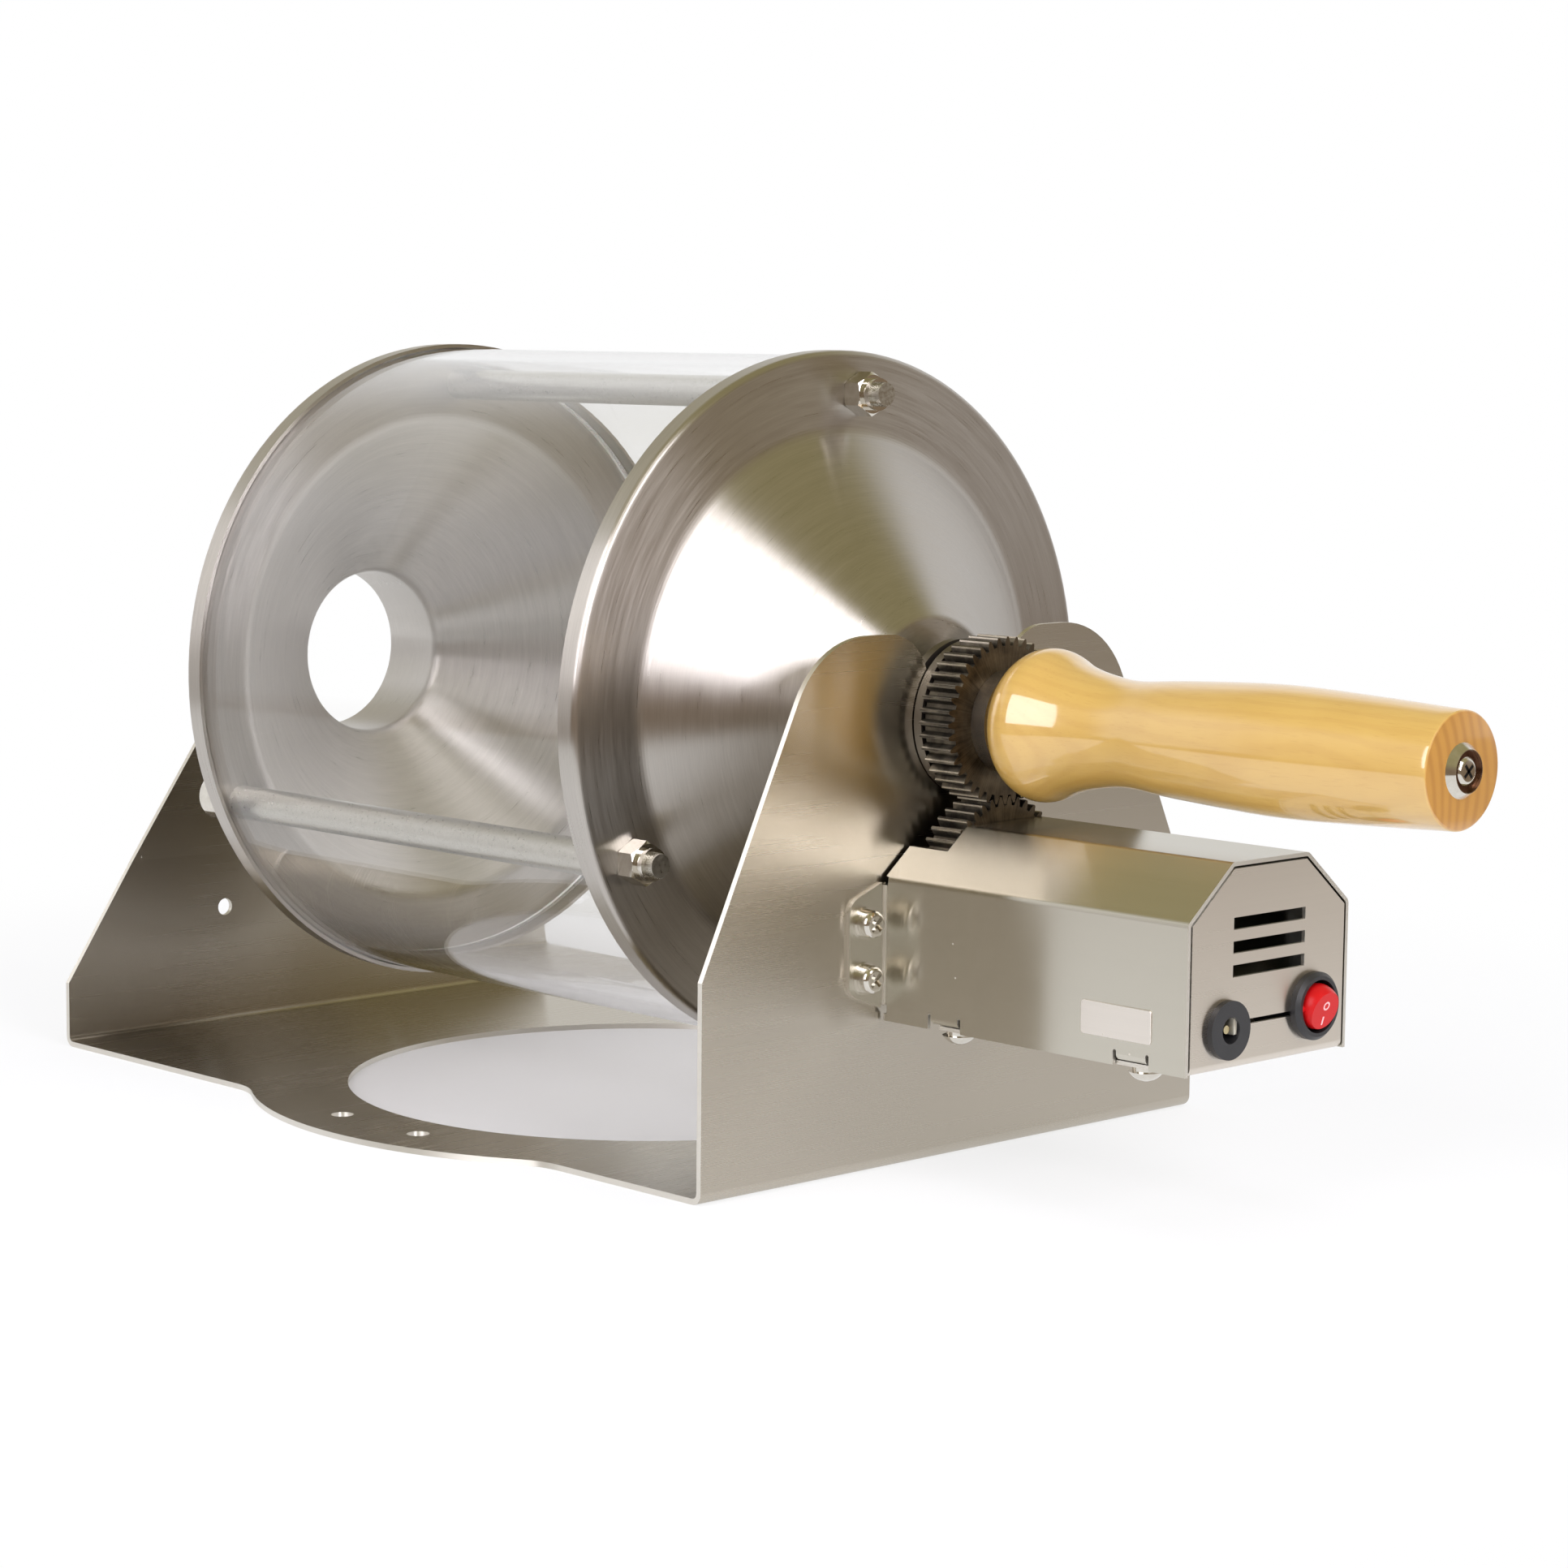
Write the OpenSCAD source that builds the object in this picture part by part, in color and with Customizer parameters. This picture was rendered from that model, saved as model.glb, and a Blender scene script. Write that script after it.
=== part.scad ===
// Stovetop coffee bean roaster: a glass drum between two spun covers, carried in a folded
// steel stand over a burner opening, turned by a small gear motor and lifted by its handle.
// Millimetres. +X runs along the drum axis towards the handle, +Z is up, and the origin is
// the centre of the burner opening on the underside of the base.

/* [Stand] */
// Thickness of the stand's sheet
sheet_t = 1.5; // [1.2:0.1:2]
// Width of the base and of both upright plates at their foot
stand_w = 180; // [170:1:200]
// Distance from the burner opening's centre to the front plate's outer face
front_x = 120; // [118:1:130]
// Distance from the burner opening's centre to the rear plate's outer face
rear_x = 151.5; // [149:0.5:160]
// Height of the drum axis above the floor
axis_h = 112; // [108:1:120]
// Outer radius of the bends at the foot of both plates
bend_r = 3; // [2:0.5:5]
// Diameter of the burner opening
burner_d = 165; // [140:1:172]
// Radius of the base's bulge round the burner opening
apron_r = 109; // [105:1:114]
// Radius of the hollow corners beside the bulge
apron_fillet_r = 20; // [10:1:30]
// Diameter of the small holes in the bulge
apron_hole_d = 6; // [4:0.5:8]
// Distance between the two holes of one side
apron_hole_gap = 32; // [20:1:50]
// Distance across the base between the holes of the two sides
apron_hole_span = 186.6; // [182:0.2:196]

/* [Front plate] */
// Height at which the front plate's sides start to slope in
front_slope_h = 54; // [40:1:60]
// Rise of the two ears beside the notch, above the drum axis
ear_rise = 22; // [18:1:26]
// Distance between the sloped sides, measured at the ears' height
ear_w = 104; // [98:1:112]
// Radius of each ear's outer shoulder
ear_outer_r = 26; // [18:1:30]
// Radius of each ear's inner shoulder
ear_inner_r = 14; // [8:1:16]

/* [Rear plate] */
// Height at which the rear plate's sides start to slope in
rear_slope_h = 18.5; // [14:0.5:24]
// Height of the bend that leans the plate's upper part inwards
rear_bend_h = 52; // [44:1:60]
// Lean of the upper part, in degrees
rear_lean = 2.2; // [0:0.1:4]
// Depth of the rear plate's top below the drum axis, measured before it is leaned
rear_drop = 20; // [18:0.5:21]
// Width of the rear plate at its top
rear_top_w = 82; // [78:1:90]
// Radius of the rear plate's top corners
rear_corner_r = 8; // [4:0.5:10]
// Radius of the hollow that clears the drum's mouth
rear_relief_r = 28; // [26:0.5:30]
// Diameter of the two plain holes in the rear plate
rear_hole_d = 5; // [3:0.5:7]
// Distance between those holes
rear_hole_gap = 70; // [50:1:90]
// Height of those holes
rear_hole_h = 35.4; // [30:0.2:42]

/* [Drum] */
// Diameter of the drum over the covers' rims
drum_d = 182; // [176:1:188]
// Position of the front cover's flat face along the axis
drum_front_x = 74.4; // [70:0.2:76]
// Length of the drum between the flat faces of its covers
drum_len = 163; // [150:1:168]
// Thickness of the covers' sheet
cover_t = 1; // [0.8:0.1:1.2]
// Width of each cover's rim, over the glass
rim_w = 6.2; // [4:0.2:10]
// Radius between rim and flat face
rim_edge_r = 1.5; // [1.3:0.1:3]
// Width of each cover's flat ring, from the rim to the cone
ring_w = 21; // [20.5:0.1:24]
// Depth of each cone
cone_depth = 33; // [30:0.5:34]
// Radius at the foot of each cone
cone_foot_r = 6; // [3:0.5:8]
// Radius at the nose of each cone
cone_nose_r = 3; // [2:0.5:4]
// Inner diameter of the rear cover's mouth, through which the beans go
mouth_d = 47; // [40:0.5:50]
// Length of the mouth's collar
collar_len = 21; // [16:0.5:24]
// Length of collar that stands past the rollers
collar_overhang = 1.8; // [0.6:0.1:4]
// Wall of the glass cylinder
glass_t = 3; // [2.5:0.1:3.5]
// Thickness of the sealing rings at the ends of the glass
gasket_t = 1; // [0.5:0.1:2]

/* [Tie rods] */
// Distance of the rods' middles from the drum's outside; they also stir the beans
rod_inset = 11; // [10.8:0.1:11.6]
// Diameter of each rod between the covers
rod_d = 9; // [7:0.5:10]
// Thread diameter at the rods' ends
rod_thread_d = 6; // [5:0.5:6]
// Turn of the first rod away from straight up, in degrees
rod_turn = 3.8; // [0:0.1:20]
// Width across flats of the lock nuts
lock_nut_af = 10; // [8:0.5:11]
// Height of the lock nuts, with their plastic collar
lock_nut_h = 8; // [6:0.5:9]
// Diameter of the domed nuts behind the rear cover
cap_nut_d = 14; // [12:0.5:15]
// Height of the domed nuts
cap_nut_h = 7; // [5:0.5:9]

/* [Shaft and bearing bush] */
// Diameter of the drum shaft
shaft_d = 12; // [10:0.5:14]
// Length of shaft inside the handle
shaft_reach = 20; // [14:1:30]
// Diameter of the shaft's shoulder, in front of the cone
shoulder_d = 24; // [16:1:26]
// Diameter of the bush where it lies in the notch
bush_d = 28; // [22:0.5:29]
// Diameter of the bush's two flanges
bush_flange_d = 39; // [36:0.5:46]
// Thickness of each flange
bush_flange_t = 2.5; // [1.5:0.1:2.8]
// Width across flats of the nut inside the drum
hub_nut_af = 18; // [16:0.5:20]
// Height of the nut inside the drum
hub_nut_h = 8; // [6:0.5:10]
// Diameter of the washer inside the drum
hub_washer_d = 30; // [24:1:34]
// Thickness of the washer inside the drum
hub_washer_t = 2; // [1:0.5:3]

/* [Gears] */
// Module of both gears
gear_module = 1; // [0.9:0.05:1.05]
// Teeth of the drum gear
drum_teeth = 40; // [36:1:40]
// Teeth of the motor gear
motor_teeth = 40; // [36:1:42]
// Width of both gears' teeth
gear_w = 10; // [8:0.5:10]
// Pressure angle, in degrees
pressure_angle = 20; // [18:0.5:22]
// Backlash at the pitch circle
backlash = 0.16; // [0.1:0.02:0.3]
// Diameter of the drum gear's boss
gear_boss_d = 26; // [18:0.5:28]
// Length of the drum gear's boss
gear_boss_len = 4.6; // [4:0.2:5]

/* [Handle] */
// Length of the wooden handle
handle_len = 133.7; // [110:0.1:140]
// Diameter of the handle at its bulb
handle_d = 38; // [34:0.2:42]
// Radius of the edge at the handle's end
handle_edge_r = 3; // [1:0.5:5]
// Diameter of the long bolt through the handle
handle_bolt_d = 6; // [5:0.5:6]
// Diameter of the bevelled washer at the handle's end
end_washer_d = 12.8; // [11:0.2:16]
// Thickness of the bevelled washer
end_washer_t = 1.9; // [1.5:0.1:3]

/* [Motor housing] */
// Thickness of the housing's sheet
case_t = 1; // [0.8:0.1:1.2]
// Width of the housing
case_w = 59.2; // [58:0.2:62]
// Distance from the front plate's face to the housing's far end
case_len = 98.5; // [96:0.5:104]
// Depth of the housing's underside below the output shaft
case_drop = 33.9; // [32:0.1:35]
// Height of the housing's upright walls
case_wall_len = 35.8; // [33:0.1:37]
// Height of the housing
case_h = 48.8; // [47.8:0.1:50]
// Width of the housing's flat top
case_top_w = 27.8; // [22:0.2:32]
// Outer radius of the housing's bends
case_bend_r = 2; // [1.6:0.1:3]
// Reach of each fastening tab from the housing's wall
tab_reach = 12.1; // [11:0.1:13]
// Height of the slot's sill for the gear, above the housing's underside
gear_slot_rise = 42.9; // [40:0.1:44]
// Gap between the housing and its end panel
panel_gap = 0.6; // [0.4:0.1:0.8]
// Length of the vent slots
vent_len = 26.4; // [20:0.2:30]
// Width of each vent slot
vent_w = 2.9; // [2:0.1:3.2]
// Distance from one vent slot to the next
vent_pitch = 5.6; // [4.6:0.1:6]
// Height of the lowest vent slot's middle above the housing's underside
vent_rise = 23.1; // [22:0.1:24.5]

/* [Gear motor] */
// Diameter of the gearbox
gearbox_d = 37; // [34:0.5:38]
// Length of the gearbox
gearbox_len = 22; // [18:0.5:24]
// Distance from the gearbox's middle up to its output shaft
output_offset = 7; // [6:0.5:7]
// Diameter of the motor behind the gearbox
motor_d = 33; // [28:0.5:34]
// Length of the motor behind the gearbox
motor_len = 31; // [24:0.5:32]
// Diameter of the output shaft
output_d = 6; // [5:0.5:6]

/* [Inlet and switch] */
// Distance of the power inlet from the middle
inlet_y = 15.1; // [13:0.1:16]
// Height of the power inlet above the housing's underside
inlet_rise = 9.6; // [9.2:0.1:12]
// Diameter of the inlet's flange
inlet_flange_d = 14; // [12:0.5:14]
// Diameter of the inlet's socket
socket_d = 6.3; // [5.5:0.1:6.5]
// Depth of the inlet's socket
socket_depth = 9; // [8:0.5:9.5]
// Distance of the switch from the middle
switch_y = 16.5; // [15:0.1:17]
// Height of the switch above the housing's underside
switch_rise = 11.7; // [11:0.1:12.4]
// Diameter of the switch's bezel
bezel_d = 16.4; // [15:0.2:17]
// Travel of the rocker from one side to the other, in degrees
rocker_travel = 34; // [12:1:38]

/* [Support rollers] */
// Diameter of the two rollers under the drum's mouth
roller_d = 22; // [19:0.5:24]
// Width of each roller
roller_w = 7; // [6:0.5:8]
// Angle of each roller from straight below the axis, in degrees
roller_angle = 40; // [36:0.5:43]

/* [Hidden] */

$fn = 96;
// Steps in an arc of an outline
arc_steps = 5;
// Overrun of a cut past the face it leaves
over = 1;
// Radial clearance of a piece pushed onto a shaft or rod
fit_gap = 0.02;
// Radial clearance of a shaft that runs in its bore
running_gap = 0.05;
// Clearance between a resting piece and its seat
seat_gap = 0.15;
// Clearance at the sides of a moving piece
side_gap = 0.3;
// Clearance of a bolt in a plain hole
bolt_gap = 0.2;

// Heights of both plates
ear_h = axis_h + ear_rise;
rear_h = axis_h - rear_drop;

// Places of the drum along the axis
drum_r = drum_d / 2;
cone_d = drum_d - 2 * ring_w;
drum_rear_x = drum_front_x - drum_len;
front_in_x = drum_front_x - cover_t;
rear_in_x = drum_rear_x + cover_t;
nose_x = drum_front_x + cone_depth;
nose_in_x = nose_x - cover_t;
mouth_r = mouth_d / 2;
collar_r = mouth_r + cover_t;
collar_end_x = drum_rear_x - cone_depth - collar_len;
glass_gap = 0.3;
glass_r = drum_r - cover_t - glass_gap;
gasket_inset = 0.4;

// Rods
rod_circle_d = drum_d - 2 * rod_inset;
rod_angles = [for (i = [0:2]) rod_turn + i * 120];
rod_hole_d = rod_thread_d + 2 * bolt_gap;
thread_end = 2.5;
lock_collar_h = 2.4;
lock_collar_share = 0.84;

// Shaft, bush and gears along the axis
hub_thread_end = 2.5;
hub_nut_x = nose_in_x - hub_washer_t - hub_nut_h;
plate_in_x = front_x - sheet_t;
bush_rear_x = plate_in_x - side_gap - bush_flange_t;
bush_front_x = front_x + side_gap + bush_flange_t;
shoulder_end_x = bush_rear_x - side_gap;
gear_gap = 0.7;
gear_x = bush_front_x + gear_gap;
boss_x = gear_x + gear_w;
handle_gap = 0.1;
handle_x = boss_x + gear_boss_len + handle_gap;
handle_end_x = handle_x + handle_len;
shaft_end_x = handle_x + shaft_reach;
notch_r = bush_d / 2 + seat_gap;
gear_distance = gear_module * (drum_teeth + motor_teeth) / 2;
motor_h = axis_h - gear_distance;
addendum = gear_module;
dedendum = 1.25 * gear_module;
flank_steps = 4;
grub_d = 4;
grub_inset = 0.4;

// Handle profile: stations along its length and radii, as shares of its length and bulb
handle_station_shares = [0, 0.04, 0.085, 0.145, 0.21, 0.285, 0.4, 0.61, 0.8, 1];
handle_radius_shares = [0.62, 0.93, 1, 0.84, 0.735, 0.688, 0.748, 0.818, 0.786, 0.722];
curve_steps = 5;
shaft_hole_gap = 0.1;
handle_bolt_grip = 12;
handle_bolt_end_x = shaft_end_x - handle_bolt_grip;
handle_bore_end_gap = 1;
handle_bore_x = shaft_end_x + handle_bore_end_gap;
bolt_head_d = 7;
bolt_head_h = 1.6;
hex_socket_af = 4;
hex_socket_depth = 1.2;
washer_bevel = 1.4;

// Housing
case_low_h = motor_h - case_drop;
case_wall_h = case_low_h + case_wall_len;
case_top_h = case_low_h + case_h;
gear_slot_h = case_low_h + gear_slot_rise;
vent_low_h = case_low_h + vent_rise;
case_end_x = front_x + case_len;
case_in_w = case_w - 2 * case_t;
case_side_gap = 0.3;
floor_half_w = case_in_w / 2 - case_side_gap;
panel_x = case_end_x - case_t;
bulkhead_gap = 3.4;
bulkhead_x = boss_x + bulkhead_gap;
bulkhead_half_w = 18;
slot_end_gap = 0.45;
slot_end_x = boss_x + slot_end_gap;
relief_d = 2.2;
tab_rise = 2.9;
tab_low_h = case_low_h + tab_rise;
tab_high_h = case_wall_h - relief_d / 3;
tab_slant = 4.6;
tab_corner_r = 4;
tab_screw_inset = 5.2;
tab_screw_y = case_w / 2 + tab_reach - tab_screw_inset;
tab_screw_rise = 11.3;
tab_screw_gap = 13.8;
tab_screw_low_h = case_low_h + tab_screw_rise;
tab_screw_high_h = tab_screw_low_h + tab_screw_gap;
screw_d = 3;
foot_tab_front_inset = 4.8;
foot_tab_end_inset = 16.6;
foot_tab_x = [bulkhead_x + foot_tab_front_inset, case_end_x - foot_tab_end_inset];
foot_tab_w = 9;
foot_slit_w = 1;
foot_notch_w = foot_tab_w + 2 * foot_slit_w;
foot_notch_h = 3.8;
foot_bend_r = 1.6;
foot_tab_reach = 10.4;
foot_screw_inset = 5.6;
foot_screw_y = case_w / 2 - foot_screw_inset;
foot_gap = 0.2;
floor_in_h = case_low_h + case_t;
cable_slot_w = 1.2;

// Fasteners of the housing
tab_screw_d = 4;
pan_head_d = 7;
pan_head_h = 2.6;
cross_share = 0.62;
cross_slot_share = 0.15;
cross_depth = 1.3;
flat_washer_d = 8;
flat_washer_t = 0.5;
spring_washer_d = 7.2;
spring_washer_t = 1;
tab_nut_af = 7;
tab_nut_h = 3.2;
low_head_d = 5.6;
dome_head_d = 8.4;
dome_head_h = 2.4;
dome_collar_d = 6.4;
dome_collar_h = 1.4;
foot_screw_len = 5;

// Gear motor
gearbox_h = motor_h - output_offset;
gearbox_x = bulkhead_x + case_t;
boss_d = 12;
boss_len = 3.4;
motor_x = gearbox_x + gearbox_len;
motor_end_x = motor_x + motor_len;
tail_d = 10;
tail_len = 2;
output_end_gap = 1.1;
output_end_x = gear_x - output_end_gap;
gearbox_screw_r = 15.5;
gearbox_screw_angles = [30, 150, 210, 330];
gearbox_screw_len = 6;
low_head_h = 1.8;
terminal_w = 3;
terminal_t = 0.8;
terminal_len = 4;
terminal_y = 8;

// Inlet and switch
inlet_h = case_low_h + inlet_rise;
switch_h = case_low_h + switch_rise;
inlet_flange_t = 1.5;
inlet_thread_d = 8;
inlet_len = 11;
inlet_nut_af = 11;
inlet_nut_h = 2;
inlet_pin_d = 2;
inlet_lug_len = 3;
bezel_t = 2.4;
switch_body_d = 14.4;
switch_body_len = 13;
cavity_d = 12.8;
cavity_depth = 7;
rocker_gap = 0.9;
rocker_d = cavity_d - 2 * rocker_gap;
rocker_face = 2.8;
rocker_back = 2.6;
rocker_pin_d = 1.8;
rocker_pin_reach = 6.85;
pivot_depth = 1;
pivot_x = case_end_x + bezel_t - pivot_depth;
lug_w = 4;
lug_t = 0.8;
lug_len = 5;
lug_y = 3;

// Rollers under the drum's mouth
roller_gap = 0.2;
roller_reach = collar_r + roller_d / 2 + roller_gap;
roller_y = roller_reach * sin(roller_angle);
roller_h = axis_h - roller_reach * cos(roller_angle);
axle_d = 6;
axle_head_d = 10.5;
axle_head_h = 3.2;
ring_d = 10;
axle_nut_af = 10;
axle_nut_h = 5;
axle_nut_r = axle_nut_af / 2 / cos(30);
lean_share = tan(rear_lean);
lean_run = (rear_h - rear_bend_h) * lean_share;
spacer_x = -rear_x + sheet_t / cos(rear_lean) + (roller_h + ring_d / 2 - rear_bend_h) * lean_share;
roller_x = collar_end_x + collar_overhang;
axle_nut_x = -rear_x + (roller_h - axle_nut_r - rear_bend_h) * lean_share;

// A point at radius r and angle a
function polar(r, a) = [r * cos(a), r * sin(a)];

// The direction of v
function unit(v) = v / norm(v);

// v turned a quarter left
function left(v) = [-v[1], v[0]];

// The arc that rounds corner q between p and s with radius r
function corner(p, q, s, r, n) =
    let (u = unit(p - q), v = unit(s - q), half = acos(u * v) / 2)
    let (c = q + unit(u + v) * r / sin(half), a = q + u * r / tan(half) - c, b = q + v * r / tan(half) - c)
    let (start = atan2(a[1], a[0]), full = atan2(b[1], b[0]) - start)
    let (turn = full > 180 ? full - 360 : full < -180 ? full + 360 : full)
    [for (i = [0:n]) c + polar(r, start + turn * i / n)];

// An open path through points, each corner rounded with its radius
function rounded(points, radii, n) =
    [for (i = [0:len(points) - 1])
        each radii[i] == 0 ? [points[i]] : corner(points[i - 1], points[i], points[i + 1], radii[i], n)];

// A closed outline through points, each corner rounded with its radius
function rounded_loop(points, radii, n) =
    let (k = len(points))
    [for (i = [0:k - 1])
        each radii[i] == 0 ? [points[i]] : corner(points[(i + k - 1) % k], points[i], points[(i + 1) % k], radii[i], n)];

// The path moved to its left by t, with mitred corners
function beside(path, t) =
    let (last = len(path) - 1)
    [for (i = [0:last])
        let (a = unit(path[max(i, 1)] - path[max(i, 1) - 1]), b = unit(path[min(i, last - 1) + 1] - path[min(i, last - 1)]))
        let (m = unit(left(a) + left(b)))
        path[i] + m * t / (m * left(a))];

// The closed outline of a sheet whose one face follows the path
function sheet(path, t) =
    let (other = beside(path, t), last = len(path) - 1)
    concat(path, [for (i = [last:-1:0]) other[i]]);

// A smooth curve through points, passing each of them
function smooth(points, n) =
    let (last = len(points) - 1)
    concat([for (i = [0:last - 1], j = [0:n - 1])
        let (p = points[max(i - 1, 0)], q = points[i], r = points[i + 1], s = points[min(i + 2, last)], t = j / n)
        q + t * (r - p) / 2 + t * t * (2 * p - 5 * q + 4 * r - s) / 2 + t * t * t * (3 * q - p - 3 * r + s) / 2],
        [points[last]]);

// Turns what is drawn round Z so that it stands on the drum axis, from x towards the handle
module on_axis(x, y = 0, h = axis_h) {
    translate([x, y, h]) rotate([0, 90, 0]) children();
}

// The same, from x towards the mouth
module on_axis_back(x, y = 0, h = axis_h) {
    translate([x, y, h]) rotate([0, -90, 0]) children();
}

// A flat outline in Y and Z, made t thick from x towards the handle
module upright(x, t) {
    translate([x, 0, 0]) rotate([90, 0, 90]) linear_extrude(t) children();
}

// A tube from one end to the other
module tube(outer, inner, h) {
    difference() {
        cylinder(d = outer, h = h);
        translate([0, 0, -over]) cylinder(d = inner, h = h + 2 * over);
    }
}

// A hexagon nut's body, h high, with its corners eased at both ends
module hex_bar(af, h) {
    corner_r = af / 2 / cos(30);
    ease = (corner_r - af / 2) * tan(30);
    intersection() {
        cylinder(r = corner_r, h = h, $fn = 6);
        rotate_extrude() polygon([[0, 0], [af / 2, 0], [corner_r, ease], [corner_r, h - ease], [af / 2, h], [0, h]]);
    }
}

// A quarter of a tube along Y: the bend between a floor and the plate at its low X end
module bend(r, t, w) {
    rotate([90, 0, 0]) linear_extrude(w, center = true) intersection() {
        difference() {
            circle(r);
            circle(r - t);
        }
        translate([-r, -r]) square(r);
    }
}

// The base's outline with its bulge
module base_outline() {
    half = stand_w / 2;
    corner_x = sqrt(pow(apron_r + apron_fillet_r, 2) - pow(half + apron_fillet_r, 2));
    touch = [corner_x, half + apron_fillet_r] * apron_r / (apron_r + apron_fillet_r);
    translate([-rear_x + bend_r, -half]) square([rear_x + front_x - 2 * bend_r, stand_w]);
    intersection() {
        circle(apron_r);
        translate([-rear_x + bend_r, -2 * apron_r]) square([rear_x + front_x - 2 * bend_r, 4 * apron_r]);
    }
    for (sx = [-1, 1], sy = [-1, 1]) scale([sx, sy]) difference() {
        polygon([[corner_x, 0], [corner_x, half + apron_fillet_r], touch, [touch[0], 0]]);
        translate([corner_x, half + apron_fillet_r]) circle(apron_fillet_r);
    }
}

// One half of the front plate's outline, on the far side
module front_half() {
    half = stand_w / 2;
    slope = (half - ear_w / 2) / (ear_h - front_slope_h);
    stretch = sqrt(1 + slope * slope);
    outer = [half - slope * (ear_h - ear_outer_r - front_slope_h) - ear_outer_r * stretch, ear_h - ear_outer_r];
    inner = [notch_r + ear_inner_r, ear_h - ear_inner_r];
    touch = outer + ear_outer_r * [1, slope] / stretch;
    polygon([[0, bend_r], [half, bend_r], [half, front_slope_h], touch, outer, [outer[0], inner[1]],
        [notch_r, inner[1]], [notch_r, axis_h], [0, axis_h]]);
    translate(outer) circle(ear_outer_r);
    translate(inner) circle(ear_inner_r);
    translate(inner) square([outer[0] - inner[0], ear_inner_r]);
}

// The rear plate's outline before it is leaned
module rear_outline() {
    half = stand_w / 2;
    slope = (half - rear_top_w / 2) / (rear_h - rear_slope_h);
    stretch = sqrt(1 + slope * slope);
    r = rear_corner_r;
    middle = [half - slope * (rear_h - r - rear_slope_h) - r * stretch, rear_h - r];
    touch = middle + r * [1, slope] / stretch;
    for (s = [-1, 1]) scale([s, 1]) {
        polygon([[0, bend_r], [half, bend_r], [half, rear_slope_h], touch, middle, [middle[0], rear_h], [0, rear_h]]);
        translate(middle) circle(r);
    }
}

module stand_frame() {
    color("silver") difference() {
        union() {
            linear_extrude(sheet_t) base_outline();
            translate([-rear_x + bend_r, 0, bend_r]) bend(bend_r, sheet_t, stand_w);
            translate([front_x - bend_r, 0, bend_r]) scale([-1, 1, 1]) bend(bend_r, sheet_t, stand_w);
            upright(plate_in_x, sheet_t) difference() {
                for (s = [-1, 1]) scale([s, 1]) front_half();
                translate([0, axis_h]) circle(notch_r);
                translate([-notch_r, axis_h]) square([2 * notch_r, ear_h]);
            }
            intersection() {
                upright(-rear_x - over, sheet_t + lean_run + 2 * over) rear_outline();
                rotate([90, 0, 0]) linear_extrude(2 * stand_w, center = true)
                    polygon(sheet([[-rear_x, 0], [-rear_x, rear_bend_h], [lean_run - rear_x, rear_h],
                        [lean_run * 2 - rear_x, 2 * rear_h - rear_bend_h]], -sheet_t));
            }
        }
        translate([0, 0, -over]) cylinder(d = burner_d, h = sheet_t + 2 * over);
        for (sx = [-1, 1], sy = [-1, 1])
            translate([sx * apron_hole_gap / 2, sy * apron_hole_span / 2, -over])
                cylinder(d = apron_hole_d, h = sheet_t + 2 * over);
        for (s = [-1, 1]) {
            on_axis(-rear_x - over, s * rear_hole_gap / 2, rear_hole_h)
                cylinder(d = rear_hole_d, h = sheet_t + 2 * over);
            on_axis(-rear_x - over, s * roller_y, roller_h)
                cylinder(d = axle_d + 2 * bolt_gap, h = 2 * sheet_t + 2 * over);
        }
        on_axis(-rear_x - over) cylinder(r = rear_relief_r, h = 3 * sheet_t + 2 * over);
        for (s = [-1, 1], h = [tab_screw_low_h, tab_screw_high_h])
            on_axis(plate_in_x - over, s * tab_screw_y, h) cylinder(d = tab_screw_d + 2 * bolt_gap, h = sheet_t + 2 * over);
    }
}

// What repeats at both rollers, drawn on the axle's line from x
module at_rollers(x) {
    for (s = [-1, 1]) on_axis(x, s * roller_y, roller_h) children();
}

module roller_axles() {
    head_x = roller_x + roller_w + side_gap;
    nut_out_x = axle_nut_x - axle_nut_h - thread_end;
    color("silver") {
        at_rollers(nut_out_x) cylinder(d = axle_d, h = head_x - nut_out_x);
        at_rollers(head_x) rotate_extrude()
            polygon(concat([[0, 0]], rounded([[axle_head_d / 2, 0], [axle_head_d / 2, axle_head_h], [0, axle_head_h]],
                [0, axle_head_h * 0.8, 0], arc_steps)));
    }
}

module roller_axle_nuts() {
    color("silver") at_rollers(axle_nut_x - axle_nut_h) difference() {
        hex_bar(axle_nut_af, axle_nut_h);
        translate([0, 0, -over]) cylinder(d = axle_d + 2 * fit_gap, h = axle_nut_h + 2 * over);
    }
}

module roller_spacers() {
    color("silver") at_rollers(spacer_x) tube(ring_d, axle_d + 2 * fit_gap, roller_x - side_gap - spacer_x);
}

module roller_inner_rings() {
    color("gainsboro") at_rollers(roller_x - side_gap)
        tube(ring_d, axle_d + 2 * fit_gap, roller_w + 2 * side_gap);
}

// A bearing's outer ring, with shallow steps where its shields sit
module roller() {
    lip = 1.6;
    step = 0.3;
    bore = ring_d + 2 * running_gap;
    rotate_extrude() polygon([[bore / 2, step], [roller_d / 2 - lip, step], [roller_d / 2 - lip, 0], [roller_d / 2, 0],
        [roller_d / 2, roller_w], [roller_d / 2 - lip, roller_w], [roller_d / 2 - lip, roller_w - step],
        [bore / 2, roller_w - step]]);
}

module roller_near() { color("dimgray") on_axis(roller_x, -roller_y, roller_h) roller(); }

module roller_far() { color("dimgray") on_axis(roller_x, roller_y, roller_h) roller(); }

// The housing's section: walls, sloped shoulders and flat top
function case_path() = rounded(
    [[-case_w / 2, case_low_h], [-case_w / 2, case_wall_h], [-case_top_w / 2, case_top_h],
        [case_top_w / 2, case_top_h], [case_w / 2, case_wall_h], [case_w / 2, case_low_h]],
    [0, case_bend_r, case_bend_r, case_bend_r, case_bend_r, 0], arc_steps);

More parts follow.
